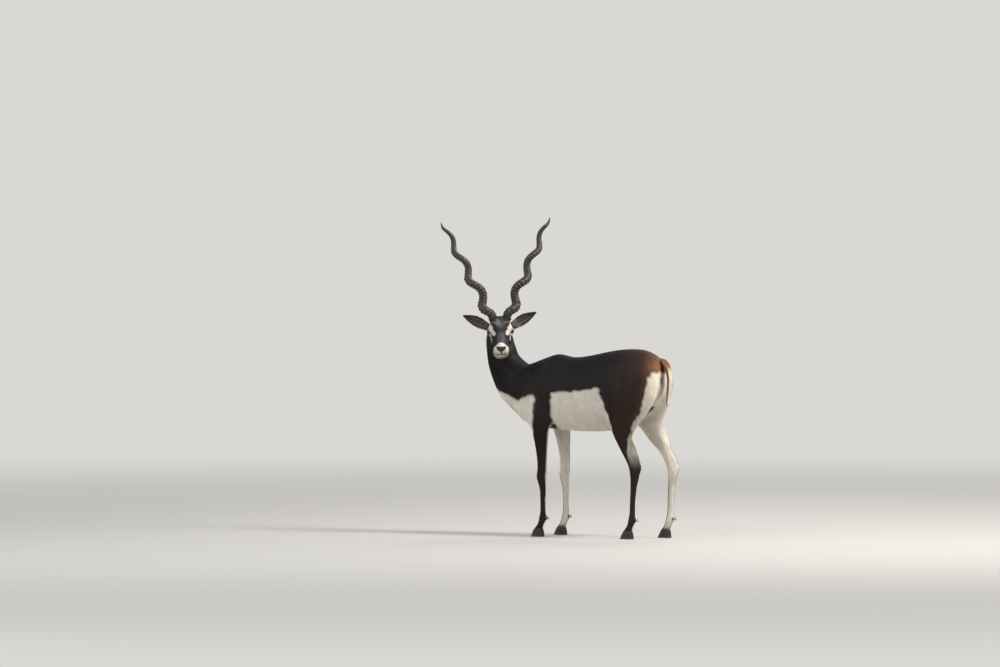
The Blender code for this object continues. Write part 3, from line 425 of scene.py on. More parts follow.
def mesh_object(name: str, points: Array, faces: Array) -> Object:
    """An object from arrays.

    Args:
        name: Name of the object.
        points: One row for each vertex.
        faces: One row of vertex numbers for each face, all of the same length.

    Returns:
        The new object, smooth-shaded and linked to the scene.
    """
    count, corners = faces.shape
    mesh = bpy.data.meshes.new(name)
    mesh.vertices.add(len(points))
    mesh.vertices.foreach_set("co", points.astype(np.float32).ravel())
    mesh.loops.add(count * corners)
    mesh.loops.foreach_set("vertex_index", faces.astype(np.int32).ravel())
    mesh.polygons.add(count)
    mesh.polygons.foreach_set("loop_start", np.arange(count, dtype=np.int32) * corners)
    mesh.polygons.foreach_set("use_smooth", np.ones(count, dtype=bool))
    mesh.update(calc_edges=True)
    obj = bpy.data.objects.new(name, mesh)
    bpy.context.scene.collection.objects.link(obj)
    return obj


def points_of(obj: Object) -> Array:
    """Vertex places of an object."""
    return read_all(obj.data.vertices, "co", 3, np.float32).astype(float)


def set_points(obj: Object, points: Array) -> None:
    """Moves the vertices of an object."""
    obj.data.vertices.foreach_set("co", points.astype(np.float32).ravel())
    obj.data.update()


def normals_of(obj: Object) -> Array:
    """Vertex normals of an object."""
    return read_all(obj.data.vertices, "normal", 3, np.float32).astype(float)


def triangles_of(obj: Object) -> Array:
    """Vertex numbers of an object's triangles."""
    obj.data.calc_loop_triangles()
    return read_all(obj.data.loop_triangles, "vertices", 3, np.int32)


def tube_faces(rows: int, sides: int) -> Array:
    """Triangles of a closed tube of rows of vertices, with a vertex at the middle of each end."""
    faces = []
    last = rows * sides
    for side in range(sides):
        other = (side + 1) % sides
        faces.append((last, other, side))
        faces.append((last + 1, last - sides + side, last - sides + other))
    for row in range(rows - 1):
        for side in range(sides):
            a = row * sides + side
            b = row * sides + (side + 1) % sides
            faces += [(a, b, b + sides), (a, b + sides, a + sides)]
    return np.array(faces)


def tube(name: str, rings: Array) -> Object:
    """A closed tube over an array of rings, each of equal point count."""
    rows, sides = rings.shape[:2]
    points = np.concatenate([rings.reshape(-1, 3), [rings[0].mean(axis=0), rings[-1].mean(axis=0)]])
    obj = mesh_object(name, points, tube_faces(rows, sides))
    face_outwards(obj)
    return obj


@contextmanager
def opened(obj: Object) -> Iterator[bmesh.types.BMesh]:
    """An object's mesh, open for editing and written back afterwards."""
    bm = bmesh.new()
    bm.from_mesh(obj.data)
    yield bm
    bm.to_mesh(obj.data)
    bm.free()


def face_outwards(obj: Object) -> None:
    """Turns the faces of a closed mesh outwards."""
    with opened(obj) as bm:
        bmesh.ops.recalc_face_normals(bm, faces=bm.faces)


def weld(obj: Object) -> None:
    """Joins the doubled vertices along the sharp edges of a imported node."""
    with opened(obj) as bm:
        bmesh.ops.remove_doubles(bm, verts=bm.verts, dist=1e-6)
        bmesh.ops.recalc_face_normals(bm, faces=bm.faces)


def refine(obj: Object, wanted: Callable[[Array], Array]) -> None:
    """Splits each edge in two where both of its ends are wanted."""
    mask = wanted(points_of(obj))
    with opened(obj) as bm:
        edges = [e for e in bm.edges if mask[e.verts[0].index] and mask[e.verts[1].index]]
        bmesh.ops.subdivide_edges(bm, edges=edges, cuts=1, use_grid_fill=True)


def paint(obj: Object, colours: Array) -> None:
    """Stores the coat's colour for each vertex."""
    layer = obj.data.color_attributes.new("coat_colour", "FLOAT_COLOR", "POINT")
    full = np.ones((len(colours), 4), np.float32)
    full[:, :3] = colours
    layer.data.foreach_set("color", full.ravel())


def store(obj: Object, values: Array, name: str) -> None:
    """Stores a number for each vertex."""
    layer = obj.data.attributes.new(name, "FLOAT", "POINT")
    layer.data.foreach_set("value", values.astype(np.float32))


def lay_uv(obj: Object, name: str, places: Array) -> None:
    """Adds a UV map that has one place for each vertex."""
    layer = obj.data.uv_layers.new(name=name)
    loops = read_all(obj.data.loops, "vertex_index", 1, np.int32)[:, 0]
    layer.data.foreach_set("uv", places[loops].astype(np.float32).ravel())


def select(objects: list[Object]) -> None:
    """Selects these objects alone and makes the first one active."""
    bpy.ops.object.select_all(action="DESELECT")
    for obj in objects:
        obj.select_set(True)
    bpy.context.view_layer.objects.active = objects[0]


def join(objects: list[Object], name: str) -> Object:
    """One object that holds the meshes of all of these."""
    select(objects)
    bpy.ops.object.join()
    objects[0].name = name
    objects[0].data.name = name
    return objects[0]


def relax(obj: Object, rounds: int, share: "float | Array", keep: float = 1.06) -> None:
    """Smooths a mesh without shrinking it much.

    Args:
        obj: The object to smooth.
        rounds: How many times each point moves towards its neighbours and back.
        share: How far it moves, for all or for each point.
        keep: How much of the move is taken back, over 1 so that the form keeps its size.
    """
    points = points_of(obj)
    edges = read_all(obj.data.edges, "vertices", 2, np.int32)
    ends = np.concatenate([edges[:, 0], edges[:, 1]])
    others = np.concatenate([edges[:, 1], edges[:, 0]])
    count = np.maximum(np.bincount(ends, minlength=len(points)), 1)[:, None]
    shares = np.broadcast_to(np.asarray(share, float), (len(points),))[:, None]
    for k in range(rounds * 2):
        columns = [np.bincount(ends, points[others, c], len(points)) for c in range(3)]
        move = np.stack(columns, axis=1) / count - points
        points = points + move * shares * (1.0 if k % 2 == 0 else -keep)
    set_points(obj, points)


def set_node(tree: NodeTree, node: Node, settings: dict, links: dict) -> Node:
    """Sets a node's properties and inputs by name, and feeds inputs from (node, output) pairs."""
    for key, value in settings.items():
        if isinstance(key, str) and hasattr(node, key):
            setattr(node, key, value)
        else:
            node.inputs[key].default_value = value
    for key, (source, output) in links.items():
        tree.links.new(source.outputs[output], node.inputs[key])
    return node


def add_node(tree: NodeTree, kind: str, settings: "dict | None" = None, links: "dict | None" = None) -> Node:
    """Adds a node.

    Args:
        tree: The material's node tree.
        kind: The node's type, without its first word, ShaderNode.
        settings: Values of its properties and of its unlinked inputs, by name.
        links: The (node, output) that feeds each of its other inputs, by the input's name.

    Returns:
        The new node.
    """
    return set_node(tree, tree.nodes.new("ShaderNode" + kind), settings or {}, links or {})


def new_material(name: str) -> tuple[Material, NodeTree, Node]:
    """A material with its tree and its Principled BSDF."""
    material = bpy.data.materials.new(name)
    material.use_nodes = True
    return material, material.node_tree, material.node_tree.nodes["Principled BSDF"]


def attribute(tree: NodeTree, name: str) -> Node:
    """A value stored for each vertex."""
    return add_node(tree, "Attribute", {"attribute_name": name})


def noise(tree: NodeTree, at: tuple, scale: float, detail: float, roughness: float, flat: bool = False) -> Node:
    """Noise over a (node, output) pair's places, on a flat map or in space."""
    settings = {"noise_dimensions": "2D" if flat else "3D", "Scale": scale, "Detail": detail, "Roughness": roughness}
    return add_node(tree, "TexNoise", settings, {"Vector": at})


def remap(tree: NodeTree, value: tuple, start: tuple, end: tuple) -> Node:
    """Maps a (node, output) pair's value from one (low, high) span to another."""
    settings = {"From Min": start[0], "From Max": start[1], "To Min": end[0], "To Max": end[1]}
    return add_node(tree, "MapRange", settings, {"Value": value})


def tinted(tree: NodeTree, colour: Node, shade: Node) -> Node:
    """A stored colour made lighter or darker."""
    return add_node(tree, "VectorMath", {"operation": "SCALE"}, {0: (colour, "Color"), "Scale": (shade, "Result")})


def bump(tree: NodeTree, height: tuple, strength: float, distance: float) -> Node:
    """Relief from a (node, output) pair's height, of this depth in metres."""
    return add_node(tree, "Bump", {"Strength": strength, "Distance": distance}, {"Height": height})


@dataclass(frozen=True)
class CoatFinish:
    """Hair grown in short overlapping locks: its sheen shows the lie of the coat."""

    name: str
    roughness: float = 0.56
    specular: float = 0.22
    sheen: float = 0.03
    sheen_roughness: float = 0.45
    variation: float = 0.09

    def material(self) -> Material:
        """Builds the material."""
        material, tree, shader = new_material(self.name)
        colour = attribute(tree, "coat_colour")
        place = add_node(tree, "TexCoord")
        # Patches of about 25 mm where the hair is a little lighter or darker
        patches = noise(tree, (place, "Object"), 40.0, 3.0, 0.6)
        shade = remap(tree, (patches, "Fac"), (0.25, 0.75), (1 - self.variation, 1 + self.variation))
        mixed = tinted(tree, colour, shade)
        settings = {
            "Roughness": self.roughness,
            "Specular IOR Level": self.specular,
            "Sheen Weight": self.sheen,
            "Sheen Roughness": self.sheen_roughness,
        }
        set_node(tree, shader, settings, {"Base Color": (mixed, "Vector")})
        return material


@dataclass(frozen=True)
class SkinFinish:
    """The skin under the coat, covered with fine short hair: a streaked bump, wet only where bare."""

    name: str
    roughness: float = 0.60
    bare_roughness: float = 0.30
    specular: float = 0.35

    def material(self) -> Material:
        """Builds the material."""
        material, tree, shader = new_material(self.name)
        colour = attribute(tree, "coat_colour")
        bare = attribute(tree, "bare")
        lie = add_node(tree, "UVMap", {"uv_map": "lie"})
        # Streaks under 1 mm wide and about 9 mm long: u runs across the coat and v along it, in metres
        stretched = add_node(tree, "Mapping", {"Scale": (1400.0, 110.0, 1.0)}, {"Vector": (lie, "UV")})
        hairs = noise(tree, (stretched, "Vector"), 1.0, 3.0, 0.65, flat=True)
        place = add_node(tree, "TexCoord")
        # Pebbled grain of the bare nose and lips, about 0.8 mm across
        grain = add_node(tree, "TexVoronoi", {"Scale": 1250.0}, {"Vector": (place, "Object")})
        pebbles = remap(tree, (grain, "Distance"), (0.0, 1.0), (0.0, 0.45))
        feeds = {0: (bare, "Fac"), 2: (hairs, "Fac"), 3: (pebbles, "Result")}
        height = add_node(tree, "Mix", {"data_type": "FLOAT"}, feeds)
        relief = bump(tree, (height, 0), 0.7, 0.0006)
        shade = remap(tree, (hairs, "Fac"), (0.3, 0.7), (0.72, 1.18))
        mixed = tinted(tree, colour, shade)
        rough = remap(tree, (bare, "Fac"), (0.0, 1.0), (self.roughness, self.bare_roughness))
        feeds = {"Base Color": (mixed, "Vector"), "Roughness": (rough, "Result"), "Normal": (relief, "Normal")}
        set_node(tree, shader, {"Specular IOR Level": self.specular}, feeds)
        return material


@dataclass(frozen=True)
class HornFinish:
    """Ringed keratin, dark and dull in the hollows and worn paler and smoother on the crests."""

    name: str = "horn_sheath_ringed_keratin"
    hollow: str = "191614"
    crest: str = "4b4138"
    tip: str = "1f1b19"

    def material(self) -> Material:
        """Builds the material."""
        material, tree, shader = new_material(self.name)
        worn = attribute(tree, "worn")
        smoothness = attribute(tree, "tip")
        lie = add_node(tree, "UVMap", {"uv_map": "lie"})
        # Fine grooves along the horn, about 1 mm wide and 22 mm long
        grooves_at = add_node(tree, "Mapping", {"Scale": (900.0, 45.0, 1.0)}, {"Vector": (lie, "UV")})
        grooves = noise(tree, (grooves_at, "Vector"), 1.0, 4.0, 0.6, flat=True)
        place = add_node(tree, "TexCoord")
        # Scuffs and dirt of 5 to 10 mm
        scuffs = noise(tree, (place, "Object"), 130.0, 5.0, 0.7)
        wear = add_node(tree, "Math", {"operation": "MULTIPLY"}, {0: (worn, "Fac"), 1: (scuffs, "Fac")})
        base = add_node(tree, "ValToRGB", {}, {"Fac": (wear, "Value")})
        low, high = base.color_ramp.elements
        low.color, low.position = rgba(self.hollow), 0.08
        high.color, high.position = rgba(self.crest), 0.75
        feeds = {0: (smoothness, "Fac"), 6: (base, "Color")}
        mixed = add_node(tree, "Mix", {"data_type": "RGBA", 7: rgba(self.tip)}, feeds)
        rough = remap(tree, (scuffs, "Fac"), (0.3, 0.7), (0.34, 0.55))
        relief = bump(tree, (grooves, "Fac"), 0.55, 0.0005)
        feeds = {"Base Color": (mixed, 2), "Roughness": (rough, "Result"), "Normal": (relief, "Normal")}
        set_node(tree, shader, {}, feeds)
        return material


@dataclass(frozen=True)
class HoofFinish:
    """Hoof horn, near black, with growth lines across it and dust towards the ground."""

    name: str = "hoof_horn_grown_keratin"
    high: str = "1c1815"
    low: str = "4d4338"
    roughness: float = 0.42

    def material(self) -> Material:
        """Builds the material."""
        material, tree, shader = new_material(self.name)
        place = add_node(tree, "TexCoord")
        parts = add_node(tree, "SeparateXYZ", {}, {"Vector": (place, "Object")})
        speckle = noise(tree, (place, "Object"), 260.0, 4.0, 0.65)
        # Dust and wear up to 14 mm above the ground
        height = remap(tree, (parts, "Z"), (0.0, 0.014), (1.0, 0.0))
        dust = add_node(tree, "Math", {"operation": "MULTIPLY"}, {0: (height, "Result"), 1: (speckle, "Fac")})
        settings = {"data_type": "RGBA", 6: rgba(self.high), 7: rgba(self.low)}
        mixed = add_node(tree, "Mix", settings, {0: (dust, "Value")})
        # Growth lines about 1.5 mm apart, level round the wall
        lines_at = add_node(tree, "Mapping", {"Scale": (60.0, 60.0, 700.0)}, {"Vector": (place, "Object")})
        lines = noise(tree, (lines_at, "Vector"), 1.0, 2.0, 0.5)
        relief = bump(tree, (lines, "Fac"), 0.4, 0.0004)
        feeds = {"Base Color": (mixed, 2), "Normal": (relief, "Normal")}
        set_node(tree, shader, {"Roughness": self.roughness}, feeds)
        return material


@dataclass(frozen=True)
class EyeFinish:
    """Wet eyeball: a dark brown iris round a level oval pupil, under a clear glossy film."""

    name: str = "eyeball_wet_cornea"
    iris: str = "2e1709"
    iris_middle: str = "3b2110"
    rim: str = "0b0706"
    white: str = "1d1613"

    def material(self) -> Material:
        """Builds the material."""
        material, tree, shader = new_material(self.name)
        across = attribute(tree, "iris")
        ramp = add_node(tree, "ValToRGB", {}, {"Fac": (across, "Fac")})
        stops = ramp.color_ramp.elements
        stops[0].position, stops[0].color = 0.28, (0.001, 0.001, 0.001, 1.0)
        stops[1].position, stops[1].color = 0.34, rgba(self.iris)
        for position, tint in ((0.62, self.iris_middle), (0.80, self.rim), (1.0, self.white)):
            stops.new(position).color = rgba(tint)
        settings = {"Roughness": 0.06, "Coat Weight": 0.25, "Coat Roughness": 0.02, "Specular IOR Level": 0.15}
        set_node(tree, shader, settings, {"Base Color": (ramp, "Color")})
        return material


@dataclass(frozen=True)
class FloorFinish:
    """Pale matt studio floor that fades into the plain surroundings."""

    name: str = "studio_floor_matt_paint"
    colour: str = "aeadab"
    around: str = "e2e0dc"
    fade_from: float = 1.6
    fade_to: float = 9.0

    def material(self) -> Material:
        """Builds the material."""
        material, tree, shader = new_material(self.name)
        set_node(tree, shader, {"Base Color": rgba(self.colour), "Roughness": 0.9, "Specular IOR Level": 0.1}, {})
        place = add_node(tree, "TexCoord")
        away = add_node(tree, "VectorMath", {"operation": "LENGTH"}, {0: (place, "Object")})
        settings = {"interpolation_type": "SMOOTHSTEP", "From Min": self.fade_from, "From Max": self.fade_to}
        fade = add_node(tree, "MapRange", settings, {"Value": (away, "Value")})
        glow = add_node(tree, "Emission", {"Color": rgba(self.around), "Strength": Studio.surround})
        feeds = {0: (fade, "Result"), 1: (shader, "BSDF"), 2: (glow, "Emission")}
        mixed = add_node(tree, "MixShader", {}, feeds)
        set_node(tree, tree.nodes["Material Output"], {}, {"Surface": (mixed, "Shader")})
        return material


class Paint:
    """Colours of a surface's points, painted over one another."""

    def __init__(self, ground: Tint, count: int) -> None:
        """Starts with one tint for all points."""
        self.colours = np.tile(linear(ground), (count, 1))

    def mix(self, tint: Tint, share: Array) -> None:
        """Paints a tint over each point by its share, 0 to 1."""
        self.colours = blend(self.colours, linear(tint), np.clip(share, 0, 1)[:, None])


class Plan:
    """Regions, markings, lie, depth and length of the coat at any place on the animal."""

    def local(self, points: Array) -> Array:
        """Points in the animal's own frame."""
        return points - OFFSET_ROW

    def head(self, points: Array) -> Array:
        """How far each point belongs to the head, 0 to 1."""
        behind_at = np.array(on_head(0.006, 0.062, 0.0))
        behind_normal = np.array((LEVEL_FORWARD * 0.98 + LEVEL_UP * 0.20).normalized())
        below_at = np.array(on_head(0.060, 0.1165, 0.0))
        ahead = np.minimum((points - behind_at) @ behind_normal, (below_at - points) @ np.array(DOWN))
        f, d, o = head_coordinates(points)
        near = (f > -0.04) & (f < 0.25) & (np.abs(o) < 0.085) & (d > -0.06) & (d < 0.135)
        return smooth(-0.012, 0.012, ahead) * near

    def neck(self, points: Array) -> Array:
        """How far each point belongs to the neck, 0 to 1."""
        place = self.local(points)
        normal = unit(np.array([-0.52, 0.0, 0.854]))
        above = (place - np.array([-0.385, 0.0, 0.705])) @ normal
        return smooth(-0.05, 0.05, above) * (place[:, 0] < -0.2) * (1 - self.head(points))

    def swing(self, place: Array) -> Array:
        """How far the leg at each point stands back of the left one."""
        z = place[:, 2]
        fore, hind = [CORONETS[limb][2] for limb in ("fore", "hind")]
        moved = np.where(place[:, 0] < LEG_DIVIDE, fore * smooth(0.60, 0.30, z), hind * smooth(0.56, 0.40, z))
        return np.where(place[:, 1] > 0, moved, 0.0)

    def leg(self, points: Array) -> Array:
        """How far each point belongs to a leg, 0 to 1."""
        place = self.local(points)
        fore = (place[:, 0] < -0.05) * (1 - smooth(0.44, 0.54, place[:, 2]))
        hind = (place[:, 0] > 0.10) * (1 - smooth(0.46, 0.60, place[:, 2]))
        return np.maximum(fore, hind)

    def lie(self, points: Array, normals: Array) -> Array:
        """Unit direction in which the hair lies at each point."""
        place = self.local(points)
        x, y, z = place.T
        flank = 1 - np.abs(normals[:, 2])
        back = np.stack([np.ones_like(x), 0.10 * np.sign(y) * flank, -0.12 - 0.34 * flank], axis=1)
        shoulder = bell(x, -0.25, 0.11) * (1 - smooth(0.60, 0.76, z)) * flank
        haunch = smooth(0.10, 0.27, x) * (1 - smooth(0.62, 0.80, z)) * flank
        rear = smooth(0.28, 0.34, x)
        down = np.array([0.22, 0.0, -1.0]) * np.array([0.2, 0.0, 1.0])
        lie = back
        for weight, direction in (
            (shoulder, np.array([0.42, 0.0, -0.90])),
            (haunch, np.array([0.30, 0.0, -0.95])),
            (rear, np.array([0.12, 0.0, -1.0])),
        ):
            lie = blend(lie, direction, weight[:, None])
        lean = np.interp(z, [0.58, 0.66, 0.75, 0.85], [0.85, 0.60, 0.20, 0.02])
        neck_lie = np.stack([lean, np.zeros_like(x), -np.sqrt(np.maximum(1 - lean**2, 0.05))], axis=1)
        lie = blend(unit(lie), neck_lie, self.neck(points)[:, None])
        lie = blend(unit(lie), down, self.leg(points)[:, None])
        f, d, o = head_coordinates(points)
        cheek = smooth(0.03, 0.08, d) * smooth(0.02, 0.04, np.abs(o))
        head_lie = -np.array(FORWARD) + np.array(DOWN) * (0.55 * cheek)[:, None]
        head_lie = head_lie + np.array(LEFT) * (np.sign(o) * 0.25 * smooth(0.02, 0.10, f))[:, None]
        lie = blend(unit(lie), unit(head_lie), self.head(points)[:, None])
        # The lie wanders a little over a hand's breadth, as a real coat does
        side = np.cross(normals, lie)
        lie = unit(lie) + unit(side) * (0.16 * ripple(points, 0.09, 5))[:, None]
        along = square_to(lie, normals)
        weak = np.linalg.norm(along, axis=1) < 0.15
        along[weak] += np.cross(normals[weak], np.array([0.0, 1.0, 0.0])) * 0.3
        return unit(along)

    @staticmethod
    def chin(f: Array, d: Array) -> Array:
        """How far a place on the head belongs to the longer hair of the chin, 0 to 1."""
        return smooth(0.060, 0.072, d) * smooth(0.150, 0.175, f)

    def depth(self, points: Array) -> Array:
        """Thickness of the coat at each point, in metres."""
        place = self.local(points)
        z = place[:, 2]
        body = np.interp(z, [0.03, 0.06, 0.30, 0.50, 0.60], [0.0006, 0.0012, 0.0016, 0.0026, 0.0030])
        f, d, _ = head_coordinates(points)
        head = 0.0011 + 0.0016 * smooth(0.07, 0.0, f) + 0.0012 * smooth(0.04, 0.09, d) * smooth(0.16, 0.10, f)
        head = head * (1 - 0.8 * smooth(0.190, 0.205, f))
        head = head + 0.0034 * self.chin(f, d)
        return blend(body, head, self.head(points))

    def length(self, points: Array) -> Array:
        """Length of the hair at each point, in metres."""
        place = self.local(points)
        x, z = place[:, 0], place[:, 2]
        body = np.interp(z, [0.045, 0.065, 0.30, 0.46, 0.56], [0.0085, 0.0075, 0.0095, 0.0130, 0.0145])
        under = smooth(0.55, 0.48, z) * (np.abs(x) < 0.18)
        body = body + 0.004 * under + 0.004 * smooth(0.30, 0.34, x) * smooth(0.60, 0.66, z)
        f, d, _ = head_coordinates(points)
        head = 0.0042 + 0.0060 * smooth(0.05, 0.0, f) + 0.0045 * smooth(0.05, 0.09, d) * smooth(0.15, 0.08, f)
        head = head * (1 - 0.45 * smooth(0.14, 0.20, f)) + 0.0110 * self.chin(f, d)
        return blend(body, head, self.head(points))

    def bare(self, points: Array) -> Array:
        """1 where the skin has no hair: nose pad, nostrils, gland, lips and round the eyes."""
        f, d, o = head_coordinates(points)
        half = read_off(PAD_WIDTHS, d)
        front = (f - 0.2125) + 1.1 * (d - 0.0112)
        bare = smooth(0.0012, -0.0012, np.abs(o) - half) * smooth(-0.0012, 0.0012, front)
        bare = bare * (d < 0.046) * self.head(points)
        for side in (-1, 1):
            nostril = off_line(points, NOSTRIL, side)
            bare = np.maximum(bare, smooth(0.0054, 0.0040, nostril))
            gland = off_line(points, GLAND, side)
            bare = np.maximum(bare, smooth(0.0042, 0.0026, gland))
            mouth = off_line(points, MOUTH, side)
            bare = np.maximum(bare, smooth(0.0030, 0.0018, mouth) * (f > 0.152))
            q, reach = eye_measure(points, side)
            bare = np.maximum(bare, smooth(1.22, 1.10, q) * (reach < 0.03))
        return bare

    def colour(self, points: Array, normals: Array) -> Array:
        """Linear colour of the coat at each point, with painted highlight, sheen and shade."""
        place = self.local(points)
        x, y, z = place.T
        side = np.sign(y)
        outwards = normals[:, 1] * side
        soft = 0.0035
        wander = 0.0026 * ripple(points, 0.032, 21) + 0.0013 * ripple(points, 0.010, 22)

        # Black above, browner towards the flank's edge, the haunch and the legs
        painted = Paint(Tint.BLACK, len(points))
        mix = painted.mix
        line = read_off(BELLY_LINE, x)
        mix(Tint.BROWN_BLACK, 0.75 * smooth(0.085, 0.0, z - line) * (x < 0.16))
        swung = x - self.swing(place)
        haunch = smooth(0.10, 0.27, swung + 0.25 * (0.72 - z)) * (x > 0.02)
        mix(Tint.DARK_BROWN, 0.80 * haunch)
        mix(Tint.BROWN_BLACK, 0.6 * smooth(0.50, 0.35, z))
        rump = bell(x, 0.345, 0.040) * bell(z, 0.765, 0.050)
        mix(Tint.RUST, 0.80 * rump)
        # Painted highlight: a sunlit orange streak over the rust-brown hair by the tail root
        glow = bell(x, 0.352, 0.017) * bell(z, 0.755, 0.022) * bell(np.abs(y), 0.030, 0.018)
        mix(Tint.RUMP_HIGHLIGHT_ORANGE, 0.85 * glow * (0.75 + 0.25 * ripple(points, 0.008, 25)))
        buttock_line = read_off(BUTTOCK_FRONT, z)
        mix(Tint.RUST, 0.35 * bell(swung - buttock_line, -0.010, 0.016) * smooth(0.48, 0.56, z) * (x > 0.20))

        # White below the line, inside the legs, and on the buttocks
        thigh_front = read_off(THIGH_FRONT, z)
        on_side = np.minimum((outwards + 0.10) * 0.06, (np.abs(y) - 0.035) * 0.6)
        foreleg = meet(meet(x + 0.223, -0.141 - x, 0.010), on_side, 0.006)
        belly = meet(meet(line - z, thigh_front - swung, 0.012), -foreleg, 0.010)
        belly = smooth(-soft, soft, belly + wander) * (z > 0.40)
        hind_bias = np.where(z < 0.52, 0.30 - 0.55 * smooth(0.36, 0.26, z), -0.10)
        rear_bias = np.where(x < LEG_DIVIDE, -0.30, hind_bias)
        leg_facing = outwards + rear_bias * normals[:, 0]
        inner = smooth(0.02, -0.22, leg_facing + 6 * wander)
        legs = np.where(x < LEG_DIVIDE, smooth(0.62, 0.54, z), smooth(0.56, 0.48, z))
        inner_high = (x > LEG_DIVIDE) * smooth(0.05, -0.15, outwards) * smooth(0.66, 0.58, z)
        buttock = meet(swung - buttock_line, 0.733 - z, 0.012)
        buttock = smooth(-soft, soft, buttock + wander) * (x > 0.18) * smooth(0.30, 0.42, z)
        white = np.maximum.reduce([belly, inner * legs, inner_high, buttock])
        below = smooth(-soft, soft, line - z + wander)
        white = np.maximum(white, smooth(0.06, 0.02, np.abs(y)) * below * (z < 0.60) * (x < 0.2))
        white = white * (1 - self.neck(points) * smooth(0.66, 0.70, z))
        mix(Tint.CREAM, white * (1 - self.head(points)))
        # Dark stripe down the front of the lower legs
        front = smooth(0.25, 0.65, -normals[:, 0]) * smooth(0.30, 0.22, z)
        mix(Tint.BROWN_BLACK, 0.85 * front)
        mix(Tint.BROWN_BLACK, 0.9 * smooth(0.050, 0.040, z))
        self.paint_head(points, mix, wander)
        # A dark spot under the tail root, beside the tail
        dark_spot_under_tail = np.linalg.norm((place - np.array([0.362, -0.014, 0.694])) * np.array([1.0, 1.4, 0.8]), axis=1)
        mix(Tint.BROWN_BLACK, 0.9 * smooth(0.014, 0.008, dark_spot_under_tail + wander))
        rear_edge = (x > 0.2) * smooth(0.25, 0.75, normals[:, 0]) * bell(z, 0.40, 0.075)
        mix(Tint.DARK_BROWN, 0.75 * rear_edge * smooth(-0.2, 0.3, outwards))
        tail = (np.abs(y) < 0.03) * smooth(0.362, 0.372, x) * (z > 0.56)
        mix(Tint.TAIL_BROWN, 0.9 * tail)
        return painted.colours * (1 + 0.035 * ripple(points, 0.05, 31))[:, None]

    def paint_head(self, points: Array, mix: Callable, wander: Array) -> None:
        """Markings of the head: white eye patches and muzzle on a black face, with painted sheen and painted shade.
        """
        f, d, o = head_coordinates(points)
        a = np.abs(o)
        head = self.head(points)
        soft = wander * 0.5
        mix(Tint.BLACK, head)
        # Painted sheen: light grey over the black of the nose bridge and, stronger, the forehead between the horns
        bridge_sheen = bell(a, 0.006, 0.011) * smooth(0.10, 0.13, f) * smooth(0.192, 0.180, f) * (d < 0.03)
        mix(Tint.FOREHEAD_SHEEN_GREY, 0.42 * head * bridge_sheen)
        forehead_sheen = bell(a, 0.0, 0.015) * bell(f, 0.062, 0.026) * (d < 0.03)
        mix(Tint.FOREHEAD_SHEEN_GREY, 0.85 * head * forehead_sheen)
        # Painted sheen: the black of the lower cheeks lightened as if lit
        cheek = smooth(0.05, 0.08, d) * smooth(0.13, 0.08, f)
        mix(Tint.BLACK_SHEEN, 0.5 * head * cheek)
        for side in (-1, 1):
            mine = head * (o * side > 0)
            patch = off_line(points, BROW_PATCH, side)
            strip = off_line(points, EYE_STRIP, side)
            centre, out, along, _ = eye_frame(side)
            reach = np.linalg.norm(points - centre, axis=1)
            behind = smooth(0.080, 0.040, f)
            ring = smooth(0.0265, 0.0235, reach + soft) * (1 - 0.55 * behind)
            wide = 0.0118 - 0.0030 * smooth(0.085, 0.120, f)
            white = np.maximum(smooth(0.0012, -0.0012, patch + soft - wide), ring)
            thin = np.interp(d, [0.050, 0.070, 0.090], [0.0070, 0.0055, 0.0005])
            white = np.maximum(white, smooth(0.0010, -0.0010, strip + soft * 0.5 - thin))
            # White eye patches and eye strips, in the cream toned down as painted shade
            mix(Tint.FACE_CREAM_PAINTED_SHADE, mine * white * 0.95)
            lids = smooth(0.0180, 0.0155, reach)
            mix(Tint.BARE_BLACK, mine * lids * 0.9)
            corner = centre + out * 0.0090 + along * 0.0140
            mix(Tint.BARE_BLACK, 0.9 * smooth(0.0050, 0.0035, np.linalg.norm(points - corner, axis=1)))
            tuft = off_line(points, HORN_TUFT, side)
            uneven = 0.8 + 0.2 * ripple(points, 0.006, 27)
            mix(Tint.HORN_FUR, 0.70 * mine * smooth(0.0062, 0.0024, tuft + soft) * uneven)
            gland = off_line(points, GLAND, side)
            mix(Tint.BARE_BLACK, smooth(0.0062, 0.0040, gland + soft) * head)
        # Muzzle, lips, chin and the front of the lower jaw
        edge = 0.189 - 0.45 * np.maximum(d - 0.030, 0) + 0.007 * smooth(0.006, 0.022, a) * smooth(0.036, 0.022, d)
        muzzle = smooth(-0.0018, 0.0018, f - edge + soft * 0.6)
        jaw = smooth(0.0, 0.004, d - 0.062 - 0.10 * (0.19 - f) + soft) * smooth(0.125, 0.145, f)
        jaw = jaw * smooth(0.106, 0.098, d)
        # White muzzle and jaw, in the cream toned down as painted shade
        mix(Tint.FACE_CREAM_PAINTED_SHADE, head * np.maximum(muzzle, jaw))
        # The mouth line: dark bare lip edges, with a wider grey band painted as shade in the crease between the lips
        mouth = np.minimum(*[off_line(points, MOUTH, side) for side in (-1, 1)])
        open_at = smooth(0.146, 0.156, f)
        mix(Tint.LIP_GREY_AND_SHADE, 0.50 * head * smooth(0.0070, 0.0030, mouth) * open_at)
        mix(Tint.BARE_BLACK, 0.90 * head * smooth(0.0026, 0.0012, mouth) * open_at)
        mix(Tint.BARE_BLACK, smooth(0.25, 0.75, self.bare(points)))
        nostrils = np.minimum(*[off_line(points, NOSTRIL, side) for side in (-1, 1)])
        # Painted sheen: the black nose pad lightened to grey as if lit, with the nostrils left black
        painted_pad_sheen = smooth(0.0, -0.002, a - read_off(PAD_WIDTHS, d)) * (d < 0.034) * (f > 0.195)
        mix(Tint.PAD_SHEEN_GREY, painted_pad_sheen * smooth(0.0040, 0.0062, nostrils) * smooth(0.25, 0.75, self.bare(points)))


